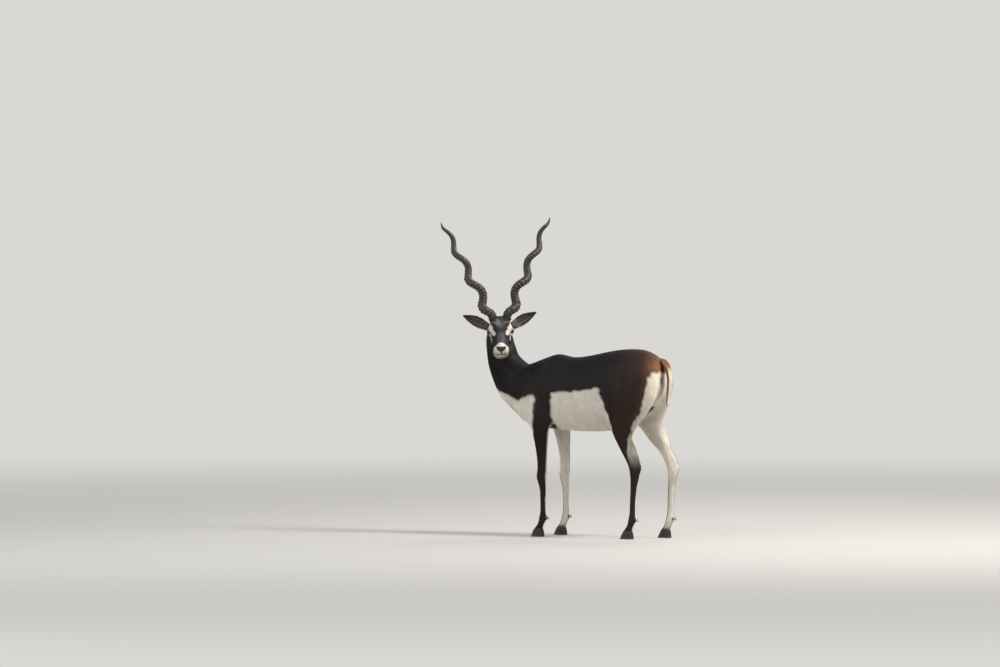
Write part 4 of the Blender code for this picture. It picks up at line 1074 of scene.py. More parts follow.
@dataclass
class Surface:
    """A painted surface that hair can grow from."""

    points: Array
    normals: Array
    triangles: Array
    colours: Array
    lie: Array
    length: Array
    depth: Array
    density: Array
    unwrapped: Array
    overhang: Array

    def settle(self, places: Array, height: Array) -> Array:
        """Moves each place to this height over the surface point nearest to it."""
        tree = BVHTree.FromPolygons(self.points.tolist(), self.triangles.tolist())
        settled = places.copy()
        for k, place in enumerate(places.tolist()):
            spot, normal, _, _ = tree.find_nearest(place)
            settled[k] = spot + normal * height[k]
        return settled


@dataclass
class Ear:
    """One ear: a cupped leaf with a thin rim, grown on the stump of the skull."""

    side: int
    rows: int = 46
    columns: int = 23

    def frame(self) -> list[Array]:
        """Root, axis to the tip, forward of the cup, and across it."""
        root = on_head(EAR_ROOT[0], EAR_ROOT[1], self.side * EAR_ROOT[2])
        axis = level_direction(self.side, EAR_DIRECTION)
        front = (LEVEL_FORWARD - axis * LEVEL_FORWARD.dot(axis)).normalized()
        front = (front - LEVEL_UP * 0.25).normalized()
        front = (front - axis * front.dot(axis)).normalized()
        return [np.array(v) for v in (root, axis, front, axis.cross(front))]

    def build(self) -> tuple[Object, Surface]:
        """Makes the ear and the surface for its hair."""
        root, axis, front, across = self.frame()
        rings, kinds, shares = [], [], []
        outer = np.linspace(-1, 1, self.columns)
        inner = np.linspace(0.93, -0.93, self.columns - 4)
        for place in np.linspace(-0.10, 1.0, self.rows):
            held = max(place, 0.0)
            centre = root + axis * EAR_LENGTH * place - front * EAR_CURVE * math.sin(math.pi * held)
            half = float(profile(EAR_HALF_WIDTHS, held)) - 0.0007
            cup = float(profile(EAR_CUP_DEPTH, held))
            opened = float(smooth(0.04, 0.30, held))
            wall = EAR_WALL * (1 - 0.55 * held)
            fold = 0.0016 * float(bell(held, 0.30, 0.22))
            ring = []
            for q in outer:
                ring.append(centre + across * half * q - front * (cup * (1 - q * q) - 0.0005))
                kinds.append(0.0)
                shares.append((held, q))
            for q in inner:
                closed = cup * (1 - q * q)
                ridges = fold * math.cos(q * 7.5) * (1 - abs(q))
                hollow = -closed * 0.94 + wall * (1 - 0.45 * abs(q) ** 3) + ridges
                lift = blend(closed, hollow, opened)
                ring.append(centre + across * half * 0.98 * q + front * lift)
                kinds.append(1.0)
                shares.append((held, q))
            rings.append(ring)
        ear = tube("ear", np.array(rings))
        kinds = np.array(kinds + [0.0, 0.0])
        shares = np.array(shares + [(0.0, 0.0), (1.0, 0.0)])
        points, normals = points_of(ear), normals_of(ear)
        place, q = shares[:, 0], shares[:, 1]
        colours = self.colours(points, place, q, kinds)
        paint(ear, colours)
        lie = unit(square_to(axis + across * (q * 0.25)[:, None], normals))
        inside = kinds * smooth(0.10, 0.30, place)
        rim = smooth(0.80, 0.97, np.abs(q))
        length = 0.0052 - 0.0018 * place + 0.0050 * inside * smooth(0.9, 0.3, place)
        density = 1.0 + 0.8 * rim - 0.35 * inside
        surface = Surface(
            points=points,
            normals=normals,
            triangles=triangles_of(ear),
            colours=colours,
            lie=lie,
            length=length,
            depth=np.full(len(points), 0.0008) + 0.0008 * inside,
            density=density * (place < 0.985),
            unwrapped=np.stack([0.25 + 0.23 * q + 0.5 * kinds, 0.03 + 0.94 * place], axis=1),
            overhang=np.zeros(len(points)),
        )
        return ear, surface

    def colours(self, points: Array, place: Array, q: Array, inner: Array) -> Array:
        """Grey-brown outside, near black inside with three pale lines of hair, and a pale rim."""
        painted = Paint(Tint.EAR_BACK, len(points))
        mix = painted.mix
        mix(Tint.EAR_INSIDE, inner * smooth(0.12, 0.30, place))
        lines = np.maximum(bell(q, -0.42, 0.10), bell(q, 0.42, 0.10))
        lines = np.maximum(lines, 0.6 * bell(q, 0.0, 0.08)) * smooth(0.15, 0.30, place) * smooth(0.85, 0.60, place)
        mix(Tint.EAR_HAIR, 0.55 * inner * lines)
        mix(Tint.EAR_RIM, 0.85 * smooth(0.84, 0.97, np.abs(q)) * smooth(0.10, 0.2, place))
        mix(Tint.BLACK, 0.85 * smooth(0.86, 0.96, place))
        mix(Tint.BLACK, 0.7 * smooth(0.14, 0.0, place))
        return painted.colours * (1 + 0.10 * ripple(points, 0.012, 40))[:, None]


@dataclass
class Skin:
    """The one skin over head, neck, trunk, legs, tail root and ears, just under the coat."""

    plan: Plan
    voxel: float = 0.0056
    swell: float = 0.0004

    def merge(self) -> Object:
        """Copies the flesh, closes eyes and gaps, and makes one even surface of it."""
        parts = []
        for name in FLESH:
            if name in ("tail", "ear_left", "ear_right"):
                continue
            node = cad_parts[name]
            part = bpy.data.objects.new("part_" + name, node.data.copy())
            bpy.context.scene.collection.objects.link(part)
            weld(part)
            set_points(part, points_of(part) + normals_of(part) * self.swell)
            parts.append(part)
        for side in (-1, 1):
            place, radius = eye_frame(side)[0], EYE_RADIUS + 0.0012
            bpy.ops.mesh.primitive_uv_sphere_add(segments=24, ring_count=16, radius=radius, location=place)
            bpy.ops.object.transform_apply(location=True, rotation=True, scale=True)
            parts.append(bpy.context.active_object)
        rings, turn, slim = [], circle(16), 0.62
        for x, z, depth, width in curve_through(TAIL, 40)[:30]:
            ring = [x + slim * depth * np.sin(turn), slim * width * np.cos(turn), np.full(len(turn), z)]
            rings.append(np.stack(ring, axis=1) + OFFSET_ROW)
        parts.append(tube("tail_core", np.array(rings)))
        whole = join(parts, "blackbuck_skin")
        modifier = whole.modifiers.new("even_surface", "REMESH")
        modifier.mode = "VOXEL"
        modifier.voxel_size = self.voxel
        select([whole])
        bpy.ops.object.modifier_apply(modifier="even_surface")
        return whole

    def build(self) -> tuple[Object, Surface]:
        """Makes the skin and the surface that the coat grows from."""
        skin = self.merge()
        relax(skin, 14, 0.5)
        refine(skin, lambda p: (self.plan.head(p) > 0.02) | (p[:, 2] < 0.16))
        relax(skin, 4, 0.5)
        refine(skin, self.fine_region)
        relax(skin, 2, 0.5)
        relax(skin, 70, 0.6 * self.behind_fetlock(points_of(skin)), 0.0)
        self.carve(skin)
        points, normals = points_of(skin), normals_of(skin)
        set_points(skin, points - normals * self.plan.depth(points)[:, None])
        self.open_eyes(skin)
        points, normals = points_of(skin), normals_of(skin)
        colours = self.plan.colour(points, normals)
        paint(skin, colours)
        bare = self.plan.bare(points)
        store(skin, bare, "bare")
        self.lay_hair_map(skin, points)
        surface = Surface(
            points=points,
            normals=normals,
            triangles=triangles_of(skin),
            colours=colours,
            lie=self.plan.lie(points, normals),
            length=self.plan.length(points),
            depth=self.plan.depth(points),
            density=np.where(bare > 0.3, 0.0, 1.0),
            unwrapped=np.zeros((len(points), 2)),
            overhang=0.018 * self.plan.chin(*head_coordinates(points)[:2]) * self.plan.head(points),
        )
        log.info("skin: %d points, %d triangles", len(points), len(surface.triangles))
        return skin, surface

    def behind_fetlock(self, points: Array) -> Array:
        """Where the swellings behind the fetlocks are sunk to the roots of the dew claws."""
        place = self.plan.local(points)
        x, _, z = place.T
        limit = np.where(x < LEG_DIVIDE, -0.172, 0.275)
        return smooth(0.0, 0.004, x - self.plan.swing(place) - limit) * bell(z, 0.080, 0.021)

    def fine_region(self, points: Array) -> Array:
        """Where the skin needs points about 1 mm apart: round the eyes and on the muzzle."""
        f = head_coordinates(points)[0]
        wanted = (f > 0.138) & (self.plan.head(points) > 0.5)
        for side in (-1, 1):
            centre, out = eye_frame(side)[:2]
            away = points - centre
            wanted |= (np.linalg.norm(away, axis=1) < 0.030) & (away @ out > 0.0)
            wanted |= off_line(points, GLAND, side) < 0.012
        return wanted

    def carve(self, skin: Object) -> None:
        """Grooves and folds of the face, pressed in or raised along the normals."""
        points, normals = points_of(skin), normals_of(skin)
        for side in (-1, 1):
            for stations, width, depth in CARVED:
                near = bell(off_line(points, stations, side), 0.0, width)
                points = points - normals * (near * depth)[:, None]
        set_points(skin, points)

    def open_eyes(self, skin: Object) -> None:
        """Lids over the eyeballs, open between them, with a crease above and below."""
        points = points_of(skin)
        for side in (-1, 1):
            centre, out, _, across = eye_frame(side)
            q, reach = eye_measure(points, side)
            away = points - centre
            direction = away / np.maximum(reach, 1e-9)[:, None]
            facing = smooth(0.10, 0.45, direction @ out)
            inside = smooth(1.06, 0.96, q)
            lid = (1 - inside) * smooth(2.05, 1.25, q) * facing
            upper = away @ across > 0
            thick = np.where(upper, 0.0026, 0.0020) + 0.0010 * bell(q, 1.12, 0.12)
            crease = np.where(upper, 0.0016, 0.0011) * bell(q, 1.52, 0.10)
            target = reach * (1 - inside - lid) + (EYE_RADIUS - 0.0055) * inside
            target = target + (EYE_RADIUS + thick - crease) * lid
            near = (reach < 0.034) & (q < 3.0) & (direction @ out > 0.05)
            points = np.where(near[:, None], centre + direction * target[:, None], points)
        set_points(skin, points)

    def lay_hair_map(self, skin: Object, points: Array) -> None:
        """Lays a map whose u runs across the coat and v along it, in metres, for the hair's bump."""
        x, y, z = self.plan.local(points).T
        f, d, o = head_coordinates(points)
        head, neck, leg = self.plan.head(points), self.plan.neck(points), self.plan.leg(points)
        turn = np.arctan2(y, z - TRUNK_AXIS_HEIGHT) * 0.13
        u = np.where(leg > 0.5, np.arctan2(y - np.sign(y) * LEG_AXIS_OUT, x) * 0.03 + y, turn)
        v = np.where(leg > 0.5, z, x)
        u = np.where(neck > 0.5, np.arctan2(y, x + 0.44) * 0.055, u)
        v = np.where(neck > 0.5, z, v)
        u = np.where(head > 0.5, np.arctan2(o, 0.05 - d) * 0.04, u)
        v = np.where(head > 0.5, f, v)
        lay_uv(skin, "lie", np.stack([u, v], axis=1))


@dataclass
class LidRims:
    """The dark moist margins of the lids, which lie on the eyeball."""

    side: int
    around: int = 72
    sides: int = 8

    def build(self) -> Object:
        """Makes the closed ring of both margins."""
        centre, out, along, across = eye_frame(self.side)
        turn = circle(self.around)
        share = np.cos(turn)
        upper = np.sin(turn) >= 0
        a = share * EYE_HALF_LENGTH
        b = lid_half_height(share * 0.985, upper) * np.where(upper, 1, -1)
        c = np.sqrt(np.maximum((EYE_RADIUS + 0.0006) ** 2 - a**2 - b**2, 1e-9))
        # The corner towards the nose is drawn out and a little down
        corner = smooth(0.80, 1.0, share)
        path = centre + np.outer(a + 0.0022 * corner, along) + np.outer(b - 0.0012 * corner, across)
        path = path + np.outer(c, out)
        tangent = unit(np.roll(path, -1, axis=0) - np.roll(path, 1, axis=0))
        away = unit(path - centre)
        away = unit(square_to(away, tangent))
        wide = np.cross(tangent, away)
        angles = circle(self.sides)
        radius = np.where(upper, 0.00135, 0.00105)[:, None, None]
        ring = (
            path[:, None]
            + away[:, None] * np.sin(angles)[None, :, None] * radius
            + wide[:, None] * np.cos(angles)[None, :, None] * radius * 1.15
        )
        faces = []
        for k in range(self.around):
            row, following = k * self.sides, (k + 1) % self.around * self.sides
            for s in range(self.sides):
                m = (s + 1) % self.sides
                faces.append((row + s, row + m, following + m, following + s))
        rims = mesh_object("lid_rims", ring.reshape(-1, 3), np.array(faces))
        face_outwards(rims)
        paint(rims, Paint(Tint.BARE_BLACK, len(rims.data.vertices)).colours)
        store(rims, np.ones(len(rims.data.vertices)), "bare")
        return rims


@dataclass
class Coat:
    """Hair in flat tapered locks, grown from a surface along its lie."""

    name: str
    surface: Surface
    mask: Array
    count: int
    width: float
    seed: int
    slot: str = "black_coat"
    jitter: float = 0.16
    unwrap: "Callable[[Array], Array] | None" = None

    def roots(self, dice: np.random.Generator) -> tuple[Array, Array]:
        """Chooses a triangle and a place in it for each lock, spread evenly over the area."""
        s = self.surface
        a, b, c = [s.points[s.triangles[:, k]] for k in range(3)]
        area = np.linalg.norm(np.cross(b - a, c - a), axis=1) / 2
        grown = (s.density * self.mask)[s.triangles].mean(axis=1)
        total = np.cumsum(area * grown)
        picks = (np.arange(self.count) + dice.uniform(0, 1, self.count)) / self.count * total[-1]
        chosen = np.searchsorted(total, picks)
        r, t = np.sqrt(dice.uniform(0, 1, self.count)), dice.uniform(0, 1, self.count)
        return s.triangles[np.minimum(chosen, len(total) - 1)], np.stack([1 - r, r * (1 - t), r * t], axis=1)

    def build(self, material: Material) -> Object:
        """Makes the piece of coat."""
        dice = np.random.default_rng(self.seed)
        corners, share = self.roots(dice)
        s = self.surface

        def at(values: Array) -> Array:
            """Values at the roots, from the corners of each root's triangle."""
            weights = share if values.ndim == 1 else share[:, :, None]
            return (values[corners] * weights).sum(axis=1)

        root, normal, lie = at(s.points), unit(at(s.normals)), unit(at(s.lie))
        lie = unit(square_to(lie, normal))
        side = np.cross(normal, lie)
        turned = dice.normal(0, self.jitter, self.count)
        lie = unit(lie + side * turned[:, None])
        side = np.cross(normal, lie)
        length = at(s.length) * dice.uniform(0.70, 1.22, self.count)
        depth = at(s.depth) * dice.uniform(0.70, 1.12, self.count)
        depth = depth + at(s.overhang) * dice.uniform(0.3, 1.1, self.count)
        half = self.width / 2 * dice.uniform(0.75, 1.25, self.count)
        swerve = dice.normal(0, 0.05, self.count) * length
        points = np.empty((self.count, 4, 3))
        points[:, 0] = root - side * half[:, None] - normal * 0.0004
        points[:, 1] = root + side * half[:, None] - normal * 0.0004
        points[:, 2] = root - lie * half[:, None] + normal * (half * 0.9)[:, None]
        tip = root + lie * length[:, None] + side * swerve[:, None]
        # Down to the fetlock the hair hugs the form; the last of it hangs over the top of the claws
        fringe = (tip[:, 2] < 0.046)[:, None]
        points[:, 3] = np.where(fringe, tip + normal * (depth + 0.0016)[:, None], s.settle(tip, depth))
        one = np.array([(0, 2, 1), (0, 1, 3), (1, 2, 3), (2, 0, 3)])
        faces = (one[None] + 4 * np.arange(self.count)[:, None, None]).reshape(-1, 3)
        obj = mesh_object(self.name, points.reshape(-1, 3), faces)
        # Shaded rounded across each lock and otherwise like the form under it, as dense fur is
        bent = np.stack([normal - side * 0.5, normal + side * 0.5, normal - lie * 0.1, normal + lie * 0.15], axis=1)
        obj.data.normals_split_custom_set_from_vertices(unit(bent.reshape(-1, 3)))
        tone = dice.uniform(0.80, 1.22, self.count)[:, None, None]
        ends = np.array([0.84, 0.84, 0.90, 1.18])[None, :, None]
        paint(obj, (at(s.colours)[:, None] * tone * ends).reshape(-1, 3))
        lay_uv(obj, "OFBake", self.places(root, at(s.unwrapped)))
        obj.data.materials.append(material)
        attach(obj, "root")
        log.info("%s: %d locks, %d triangles", self.name, self.count, len(faces))
        return obj

    def places(self, root: Array, unwrapped: Array) -> Array:
        """Map places of all vertices: a small patch for each lock, at its root's place."""
        if self.unwrap is not None:
            unwrapped = self.unwrap(root)
        shape = np.array([(0, 0), (1, 0), (0.5, 0.3), (0.5, 1)]) - 0.5
        return (np.clip(unwrapped, 0.004, 0.996)[:, None] + shape[None] * BAKE_PATCH).reshape(-1, 2)


@dataclass
class TailTuft:
    """Longer hair of the tail: brown above, white below, drawn to a point."""

    plan: Plan
    count: int = 4200
    seed: int = 71

    def build(self, material: Material) -> Object:
        """Makes the tuft from locks of four stations each."""
        dice = np.random.default_rng(self.seed)
        rows = curve_through(TAIL, 101)
        start = dice.uniform(0.04, 0.80, self.count) ** 0.9
        length = dice.uniform(0.14, 0.26, self.count) * (1.0 - 0.25 * start)
        length = np.minimum(length, 0.995 - start)
        angle = dice.uniform(0, 2 * math.pi, self.count)
        stations = np.array([0.0, 0.35, 0.70, 1.0])
        widths = np.array([0.7, 1.0, 0.75, 0.0])
        half = dice.uniform(0.00045, 0.00085, self.count)
        bow = dice.uniform(0.86, 1.04, self.count)
        points = np.empty((self.count, 10, 3))
        for k, t in enumerate(stations):
            place = np.clip(start + length * t, 0, 1) * 100
            row, ahead, behind = [
                np.stack([np.interp(place + step, np.arange(101), rows[:, c]) for c in range(4)], axis=1)
                for step in (0, 1, -1)
            ]
            moved = ahead - behind
            tangent = unit(np.stack([moved[:, 0], np.zeros(self.count), moved[:, 1]], axis=1))
            rear = np.cross(tangent, np.array([0.0, 1.0, 0.0]))
            out = 0.58 + 0.42 * math.sin(min(t * 1.5, 1) * math.pi / 2)
            reach = out * bow * np.where(t < 1, 1.0, 0.85)
            centre = np.stack([row[:, 0], np.zeros(self.count), row[:, 1]], axis=1) + OFFSET_ROW
            away = np.outer(np.ones(self.count), [0.0, 1.0, 0.0]) * (row[:, 3] * np.cos(angle))[:, None]
            away = away + rear * (row[:, 2] * np.sin(angle))[:, None]
            middle = centre + away * reach[:, None]
            thin = unit(square_to(away, tangent))
            wide = np.cross(tangent, thin)
            if k == 3:
                points[:, 9] = middle
                continue
            points[:, 3 * k] = middle - wide * (half * widths[k])[:, None]
            points[:, 3 * k + 1] = middle + wide * (half * widths[k])[:, None]
            points[:, 3 * k + 2] = middle + thin * (half * widths[k] * 0.45)[:, None]
        one = [(0, 1, 2), (6, 9, 7), (7, 9, 8), (8, 9, 6)]
        for k in (0, 3):
            one += [(k, k + 3, k + 4), (k, k + 4, k + 1), (k + 1, k + 4, k + 5)]
            one += [(k + 1, k + 5, k + 2), (k + 2, k + 5, k + 3), (k + 2, k + 3, k)]
        faces = (np.array(one)[None] + 10 * np.arange(self.count)[:, None, None]).reshape(-1, 3)
        obj = mesh_object("coat_tail_tuft", points.reshape(-1, 3), faces)
        face_outwards(obj)
        # Brown along the near edge and over the root, white along the rear and the far side
        towards_rear = 0.866 * np.sin(angle) + 0.5 * np.cos(angle)
        white = smooth(-0.25, 0.10, towards_rear) * smooth(0.10, 0.22, start)
        edge = bell(towards_rear, -0.85, 0.22)
        brown = blend(linear(Tint.TAIL_BROWN), linear(Tint.DARK_BROWN), edge[:, None])
        base = blend(brown, linear(Tint.CREAM), white[:, None])
        tone = dice.uniform(0.8, 1.25, self.count)[:, None, None]
        ends = np.array([0.8] * 3 + [0.95] * 3 + [1.1] * 3 + [1.2])[None, :, None]
        paint(obj, (base[:, None] * tone * ends).reshape(-1, 3))
        unwrapped = np.stack([0.02 + 0.96 * angle / (2 * math.pi), 0.02 + 0.96 * start], axis=1)
        shape = [(0, 0), (1, 0), (0.5, 0.1), (0, 0.33), (1, 0.33), (0.5, 0.4)]
        shape = np.array(shape + [(0, 0.7), (1, 0.7), (0.5, 0.75), (0.5, 1)]) - 0.5
        lay_uv(obj, "OFBake", (unwrapped[:, None] + shape[None] * BAKE_PATCH).reshape(-1, 2))
        obj.data.materials.append(material)
        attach(obj, "root")
        log.info("tail tuft: %d triangles", len(faces))
        return obj


@dataclass
class Eye:
    """One eyeball with a bulging cornea over iris and pupil."""

    side: int
    rings: int = 40
    around: int = 64

    def build(self, material: Material) -> Object:
        """Makes the eyeball."""
        centre, out, along, across = eye_frame(self.side)
        angles = np.linspace(0.0, math.radians(118), self.rings)[1:]
        turn = circle(self.around)
        rings, values = [], []
        for angle in angles:
            bulge = 0.0010 * float(bell(angle, 0.0, 0.62))
            radius = EYE_RADIUS - 0.0003 + bulge
            a, b = radius * math.sin(angle) * np.cos(turn), radius * math.sin(angle) * np.sin(turn)
            rings.append(centre + out * radius * math.cos(angle) + np.outer(a, along) + np.outer(b, across))
            share = angle / math.radians(84)
            oval = np.hypot(np.cos(turn) * 0.62, np.sin(turn) * 1.25)
            near = float(smooth(0.70, 0.25, share))
            values.append(share * (oval * near + (1 - near)))
        eye = tube("eyeball_" + hand(self.side), np.array(rings))
        store(eye, np.concatenate([np.concatenate(values), [0.0, 1.0]]), "iris")
        eye.data.materials.append(material)
        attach(eye, "root")
        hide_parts("eye_left" if self.side > 0 else "eye_right")
        log.info("%s: %d triangles", eye.name, len(eye.data.polygons))
        return eye


@dataclass
class Lashes:
    """Stiff black hairs along the upper lid."""

    side: int
    count: int = 34
    seed: int = 90

    def build(self, material: Material) -> Object:
        """Makes the row of lashes."""
        dice = np.random.default_rng(self.seed + self.side)
        centre, out, along, across = eye_frame(self.side)
        rings, faces = [], []
        for k in range(self.count):
            share = -0.86 + 1.55 * k / (self.count - 1) + dice.uniform(-0.02, 0.02)
            a = share * EYE_HALF_LENGTH
            b = float(lid_half_height(np.array(share), np.array(True)))
            c = math.sqrt(max((EYE_RADIUS + 0.0012) ** 2 - a * a - b * b, 1e-8))
            root = centre + along * a + across * b + out * c
            length = dice.uniform(0.0055, 0.0085) * (1 - 0.4 * abs(share + 0.1))
            sweep = unit(out * 0.75 + across * 0.38 + along * (share * 0.5) + along * -0.15)
            droop = across * -0.25
            half = 0.00022
            for t in (0.0, 0.5):
                middle = root + sweep * length * t + droop * length * t * (1 - t)
                wide = np.cross(sweep, across)
                for turn in (0.0, 2.1, 4.2):
                    around = wide * math.cos(turn) + across * math.sin(turn)
                    rings.append(middle + around * half * (1 - 0.45 * t))
            rings.append(root + sweep * length + droop * length * 0.15)
            one = np.array([(0, 1, 2), (0, 3, 4), (0, 4, 1), (1, 4, 5), (1, 5, 2), (2, 5, 3), (2, 3, 0)])
            one = np.vstack([one, [(3, 6, 4), (4, 6, 5), (5, 6, 3)]])
            faces.append(one + 7 * k)
        lashes = mesh_object("lashes", np.array(rings), np.concatenate(faces))
        face_outwards(lashes)
        paint(lashes, Paint(Tint.BARE_BLACK, len(lashes.data.vertices)).colours)
        lashes.name = "lashes_" + hand(self.side)
        lashes.data.materials.append(material)
        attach(lashes, "root")
        return lashes


@dataclass
class Horn:
    """One horn: an open corkscrew with raised rings up to its smooth tip."""

    side: int
    sides: int = 44
    per_ring: int = 7
    tip_rows: int = 22

    def centre(self, place: float) -> Vector:
        """Centre of the horn at this share of its axis."""
        axis = self.axis()
        outward = LEFT * self.side
        outward = (outward - axis * outward.dot(axis)).normalized()
        behind = axis.cross(outward) * self.side
        length = place * HORN_AXIS_LENGTH
        angle = 2 * math.pi * (length - HORN_OUTERMOST) / HORN_PITCH
        wave = HORN_WAVE_LOW + (HORN_WAVE_HIGH - HORN_WAVE_LOW) * place
        grown = float(smooth(-0.02, 0.10, place))
        settled = 1 - 0.6 * float(smooth(0.90, 1.0, place))
        offset = outward * math.cos(angle) + behind * math.sin(angle)
        first = -2 * math.pi * HORN_OUTERMOST / HORN_PITCH
        start = outward * math.cos(first) + behind * math.sin(first)
        rooted = start * HORN_WAVE_LOW * float(smooth(-0.02, 0.10, 0.0)) * (1 - float(smooth(0.0, 0.12, place)))
        base = on_head(HORN_BASE[0], HORN_BASE[1], self.side * HORN_BASE[2])
        return base + axis * length + offset * wave * grown * settled - rooted

    def axis(self) -> Vector:
        """Unit vector along the corkscrew."""
        return level_direction(self.side, HORN_AXIS)

    def places(self) -> list[tuple[float, float, int]]:
        """Share of the axis, phase within its ring, and number of the ring, for each row."""
        rows = []
        steps = HORN_RINGS * self.per_ring
        for k in range(steps):
            share = k / steps
            place = HORN_RINGED_SHARE * share * (1 + HORN_RINGS_CLOSING * (1 - share))
            rows.append((place, (k % self.per_ring) / self.per_ring, k // self.per_ring))
        for place in np.linspace(HORN_RINGED_SHARE, 1.0, self.tip_rows):
            rows.append((float(place), 0.0, HORN_RINGS))
        return rows

    def build(self, material: Material) -> Object:
        """Makes the horn."""
        dice = np.random.default_rng(50 + self.side)
        heights = np.append(dice.uniform(0.75, 1.25, HORN_RINGS), 0.0)
        across = LEVEL_FORWARD
        step = 0.004
        turn = circle(self.sides)
        lumps = dice.normal(0, 1, (HORN_RINGS + 1, 5))
        rings, worn, tips, places = [], [], [], self.places()
        for place, phase, number in places:
            ahead, behind = self.centre(min(place + step, 1.0)), self.centre(max(place - step, 0.0))
            turned = float(smooth(0.0, 0.06, place))
            tangent = blend(self.axis(), (ahead - behind).normalized(), turned)
            tangent.normalize()
            across = (across - tangent * across.dot(tangent)).normalized()
            along = tangent.cross(across)
            # Crests stand highest in front and lean: the phase runs ahead on one side
            shifted = phase + 0.10 * np.sin(turn)
            crest = (0.5 - 0.5 * np.cos(2 * math.pi * shifted)) ** 2.2
            uneven = 1 + 0.16 * sum(lumps[number, j] * np.cos((j + 1) * turn + j) for j in range(5))
            fade = (1 - 0.42 * place) * heights[number] * (1 - float(smooth(0.82, 0.87, place)))
            rise = (0.0031 * crest - 0.0010) * fade * uneven * (0.85 + 0.30 * np.cos(turn))
            radius = float(profile(HORN_PROFILE, place)) + rise
            if place > 0.985:
                radius = radius * math.sqrt(max((1.0 - place) / 0.015, 0.02)) ** 0.5
            centre = np.array(self.centre(place))
            if place == 0.0:
                centre = centre - np.array(tangent) * 0.006
            ring = centre + np.outer(radius * np.cos(turn), np.array(across))
            rings.append(ring + np.outer(radius * np.sin(turn), np.array(along)))
            worn.append(crest * (1 if number < HORN_RINGS else 0.35))
            tips.append(np.full(self.sides, float(smooth(0.82, 0.92, place))))
        name = "horn_sheath_" + hand(self.side)
        horn = tube(name, np.array(rings))
        store(horn, np.append(np.concatenate(worn), [0.0, 0.3]), "worn")
        store(horn, np.append(np.concatenate(tips), [0.0, 1.0]), "tip")
        v = np.repeat([p[0] * HORN_AXIS_LENGTH * 1.15 for p in places], self.sides)
        u = np.tile(turn * 0.016, len(places))
        lay_uv(horn, "lie", np.stack([np.append(u, [0, 0]), np.append(v, [0, 0.58])], axis=1))
        horn.data.materials.append(material)
        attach(horn, "root")
        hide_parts("horn_left" if self.side > 0 else "horn_right")
        log.info("%s: %d triangles", name, len(horn.data.polygons))
        return horn


@dataclass
class Claw:
    """One claw of a cloven hoof, with a swollen coronet and a slightly dished wall."""

    limb: str
    hand: str
    inner: bool
    rows: int = 20
    around: int = 54

    def outline(self, length: float, width: float, heel: float) -> Array:
        """Claw seen from above: round at the heel, straight along the cleft, pointed at the toe."""
        shape = [(heel - share * length, across) for share, across in CLAW_OUTLINE]
        closed = shape[-2:] + shape + shape[:3]
        fine = curve_through(closed, (len(closed) - 1) * 12 + 1)[24 : 24 + len(shape) * 12]
        chosen = fine[np.linspace(0, len(fine) - 1, self.around).astype(int)]
        return np.stack([chosen[:, 0], CLAW_CLEFT / 2 + np.clip(chosen[:, 1], 0, 1.02) * width], axis=1)

    def build(self, material: Material) -> Object:
        """Makes the claw."""
        x, out, back = CORONETS[self.limb]
        side = -1 if self.hand == "left" else 1
        toe = -side if self.inner else side
        turn = -math.radians(CLAW_SPLAY) * toe
        heights, lengths, widths, heels = zip(*CLAW_STATIONS)
        rings = []
        for t in np.linspace(0, 1, self.rows) ** 1.15:
            z = t * (CORONET_HEIGHT + 0.004)
            held = min(z, CORONET_HEIGHT)
            worn = 0.0007 * (1 - min(z / 0.0012, 1.0))
            band = 0.0006 * float(bell(held, 0.0315, 0.0022))
            growth = 0.00016 * math.sin(held / 0.0021 * 2 * math.pi)
            length = float(np.interp(held, heights, lengths)) - 2 * worn + band + growth
            width = float(np.interp(held, heights, widths)) - worn + band + growth
            flat = self.outline(length, width, float(np.interp(held, heights, heels)) - worn)
            if z > CORONET_HEIGHT:
                flat = (flat - flat.mean(axis=0)) * 0.86 + flat.mean(axis=0)
            flat[:, 1] *= toe
            c, s = math.cos(turn), math.sin(turn)
            across = np.stack([flat[:, 0] * c - flat[:, 1] * s, flat[:, 0] * s + flat[:, 1] * c], axis=1)
            swung = back if side > 0 else 0.0
            ring = np.column_stack([across[:, 0] + x + swung, across[:, 1] + side * out, np.full(self.around, z)])
            rings.append(ring + OFFSET_ROW)
        part = "inner" if self.inner else "outer"
        claw = tube(f"claw_{self.limb}_{self.hand}_{part}", np.array(rings))
        claw.data.set_sharp_from_angle(angle=math.radians(60))
        claw.data.materials.append(material)
        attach(claw, "root")
        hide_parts(f"hoof_{self.limb}_{self.hand}_{part}")
        return claw


@dataclass
class DewClaws:
    """The pairs of small horn claws behind the fetlocks."""

    rows: int = 9
    sides: int = 14

    def build(self, material: Material) -> Object:
        """Makes all eight as one piece."""
        pieces = []
        turn = circle(self.sides)
        for limb, (x, z, out) in DEW_CLAWS.items():
            back = CORONETS[limb][2]
            for side in (-1, 1):
                for apart in (-0.0078, 0.0078):
                    start = np.array([x + (back if side > 0 else 0.0), side * (out + apart), z]) + OFFSET_ROW
                    aim = unit(np.array([0.60, side * apart * 22, -0.78]))
                    wide = unit(np.cross(aim, np.array([1.0, 0.0, 0.6])))
                    thin = np.cross(aim, wide)
                    rings = []
                    for t in np.linspace(0, 1, self.rows):
                        reach = -0.004 + 0.0140 * t
                        size = math.sqrt(max(1 - t**2.4, 0.0)) * 0.96 + 0.04
                        ring = start + aim * reach + np.outer(np.cos(turn) * 0.0052 * size, wide)
                        rings.append(ring + np.outer(np.sin(turn) * 0.0039 * size, thin))
                    pieces.append(tube("dew_claw", np.array(rings)))
        claws = join(pieces, "dew_claws")
        claws.data.materials.append(material)
        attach(claws, "root")
        log.info("dew claws: %d triangles", len(claws.data.polygons))
        return claws


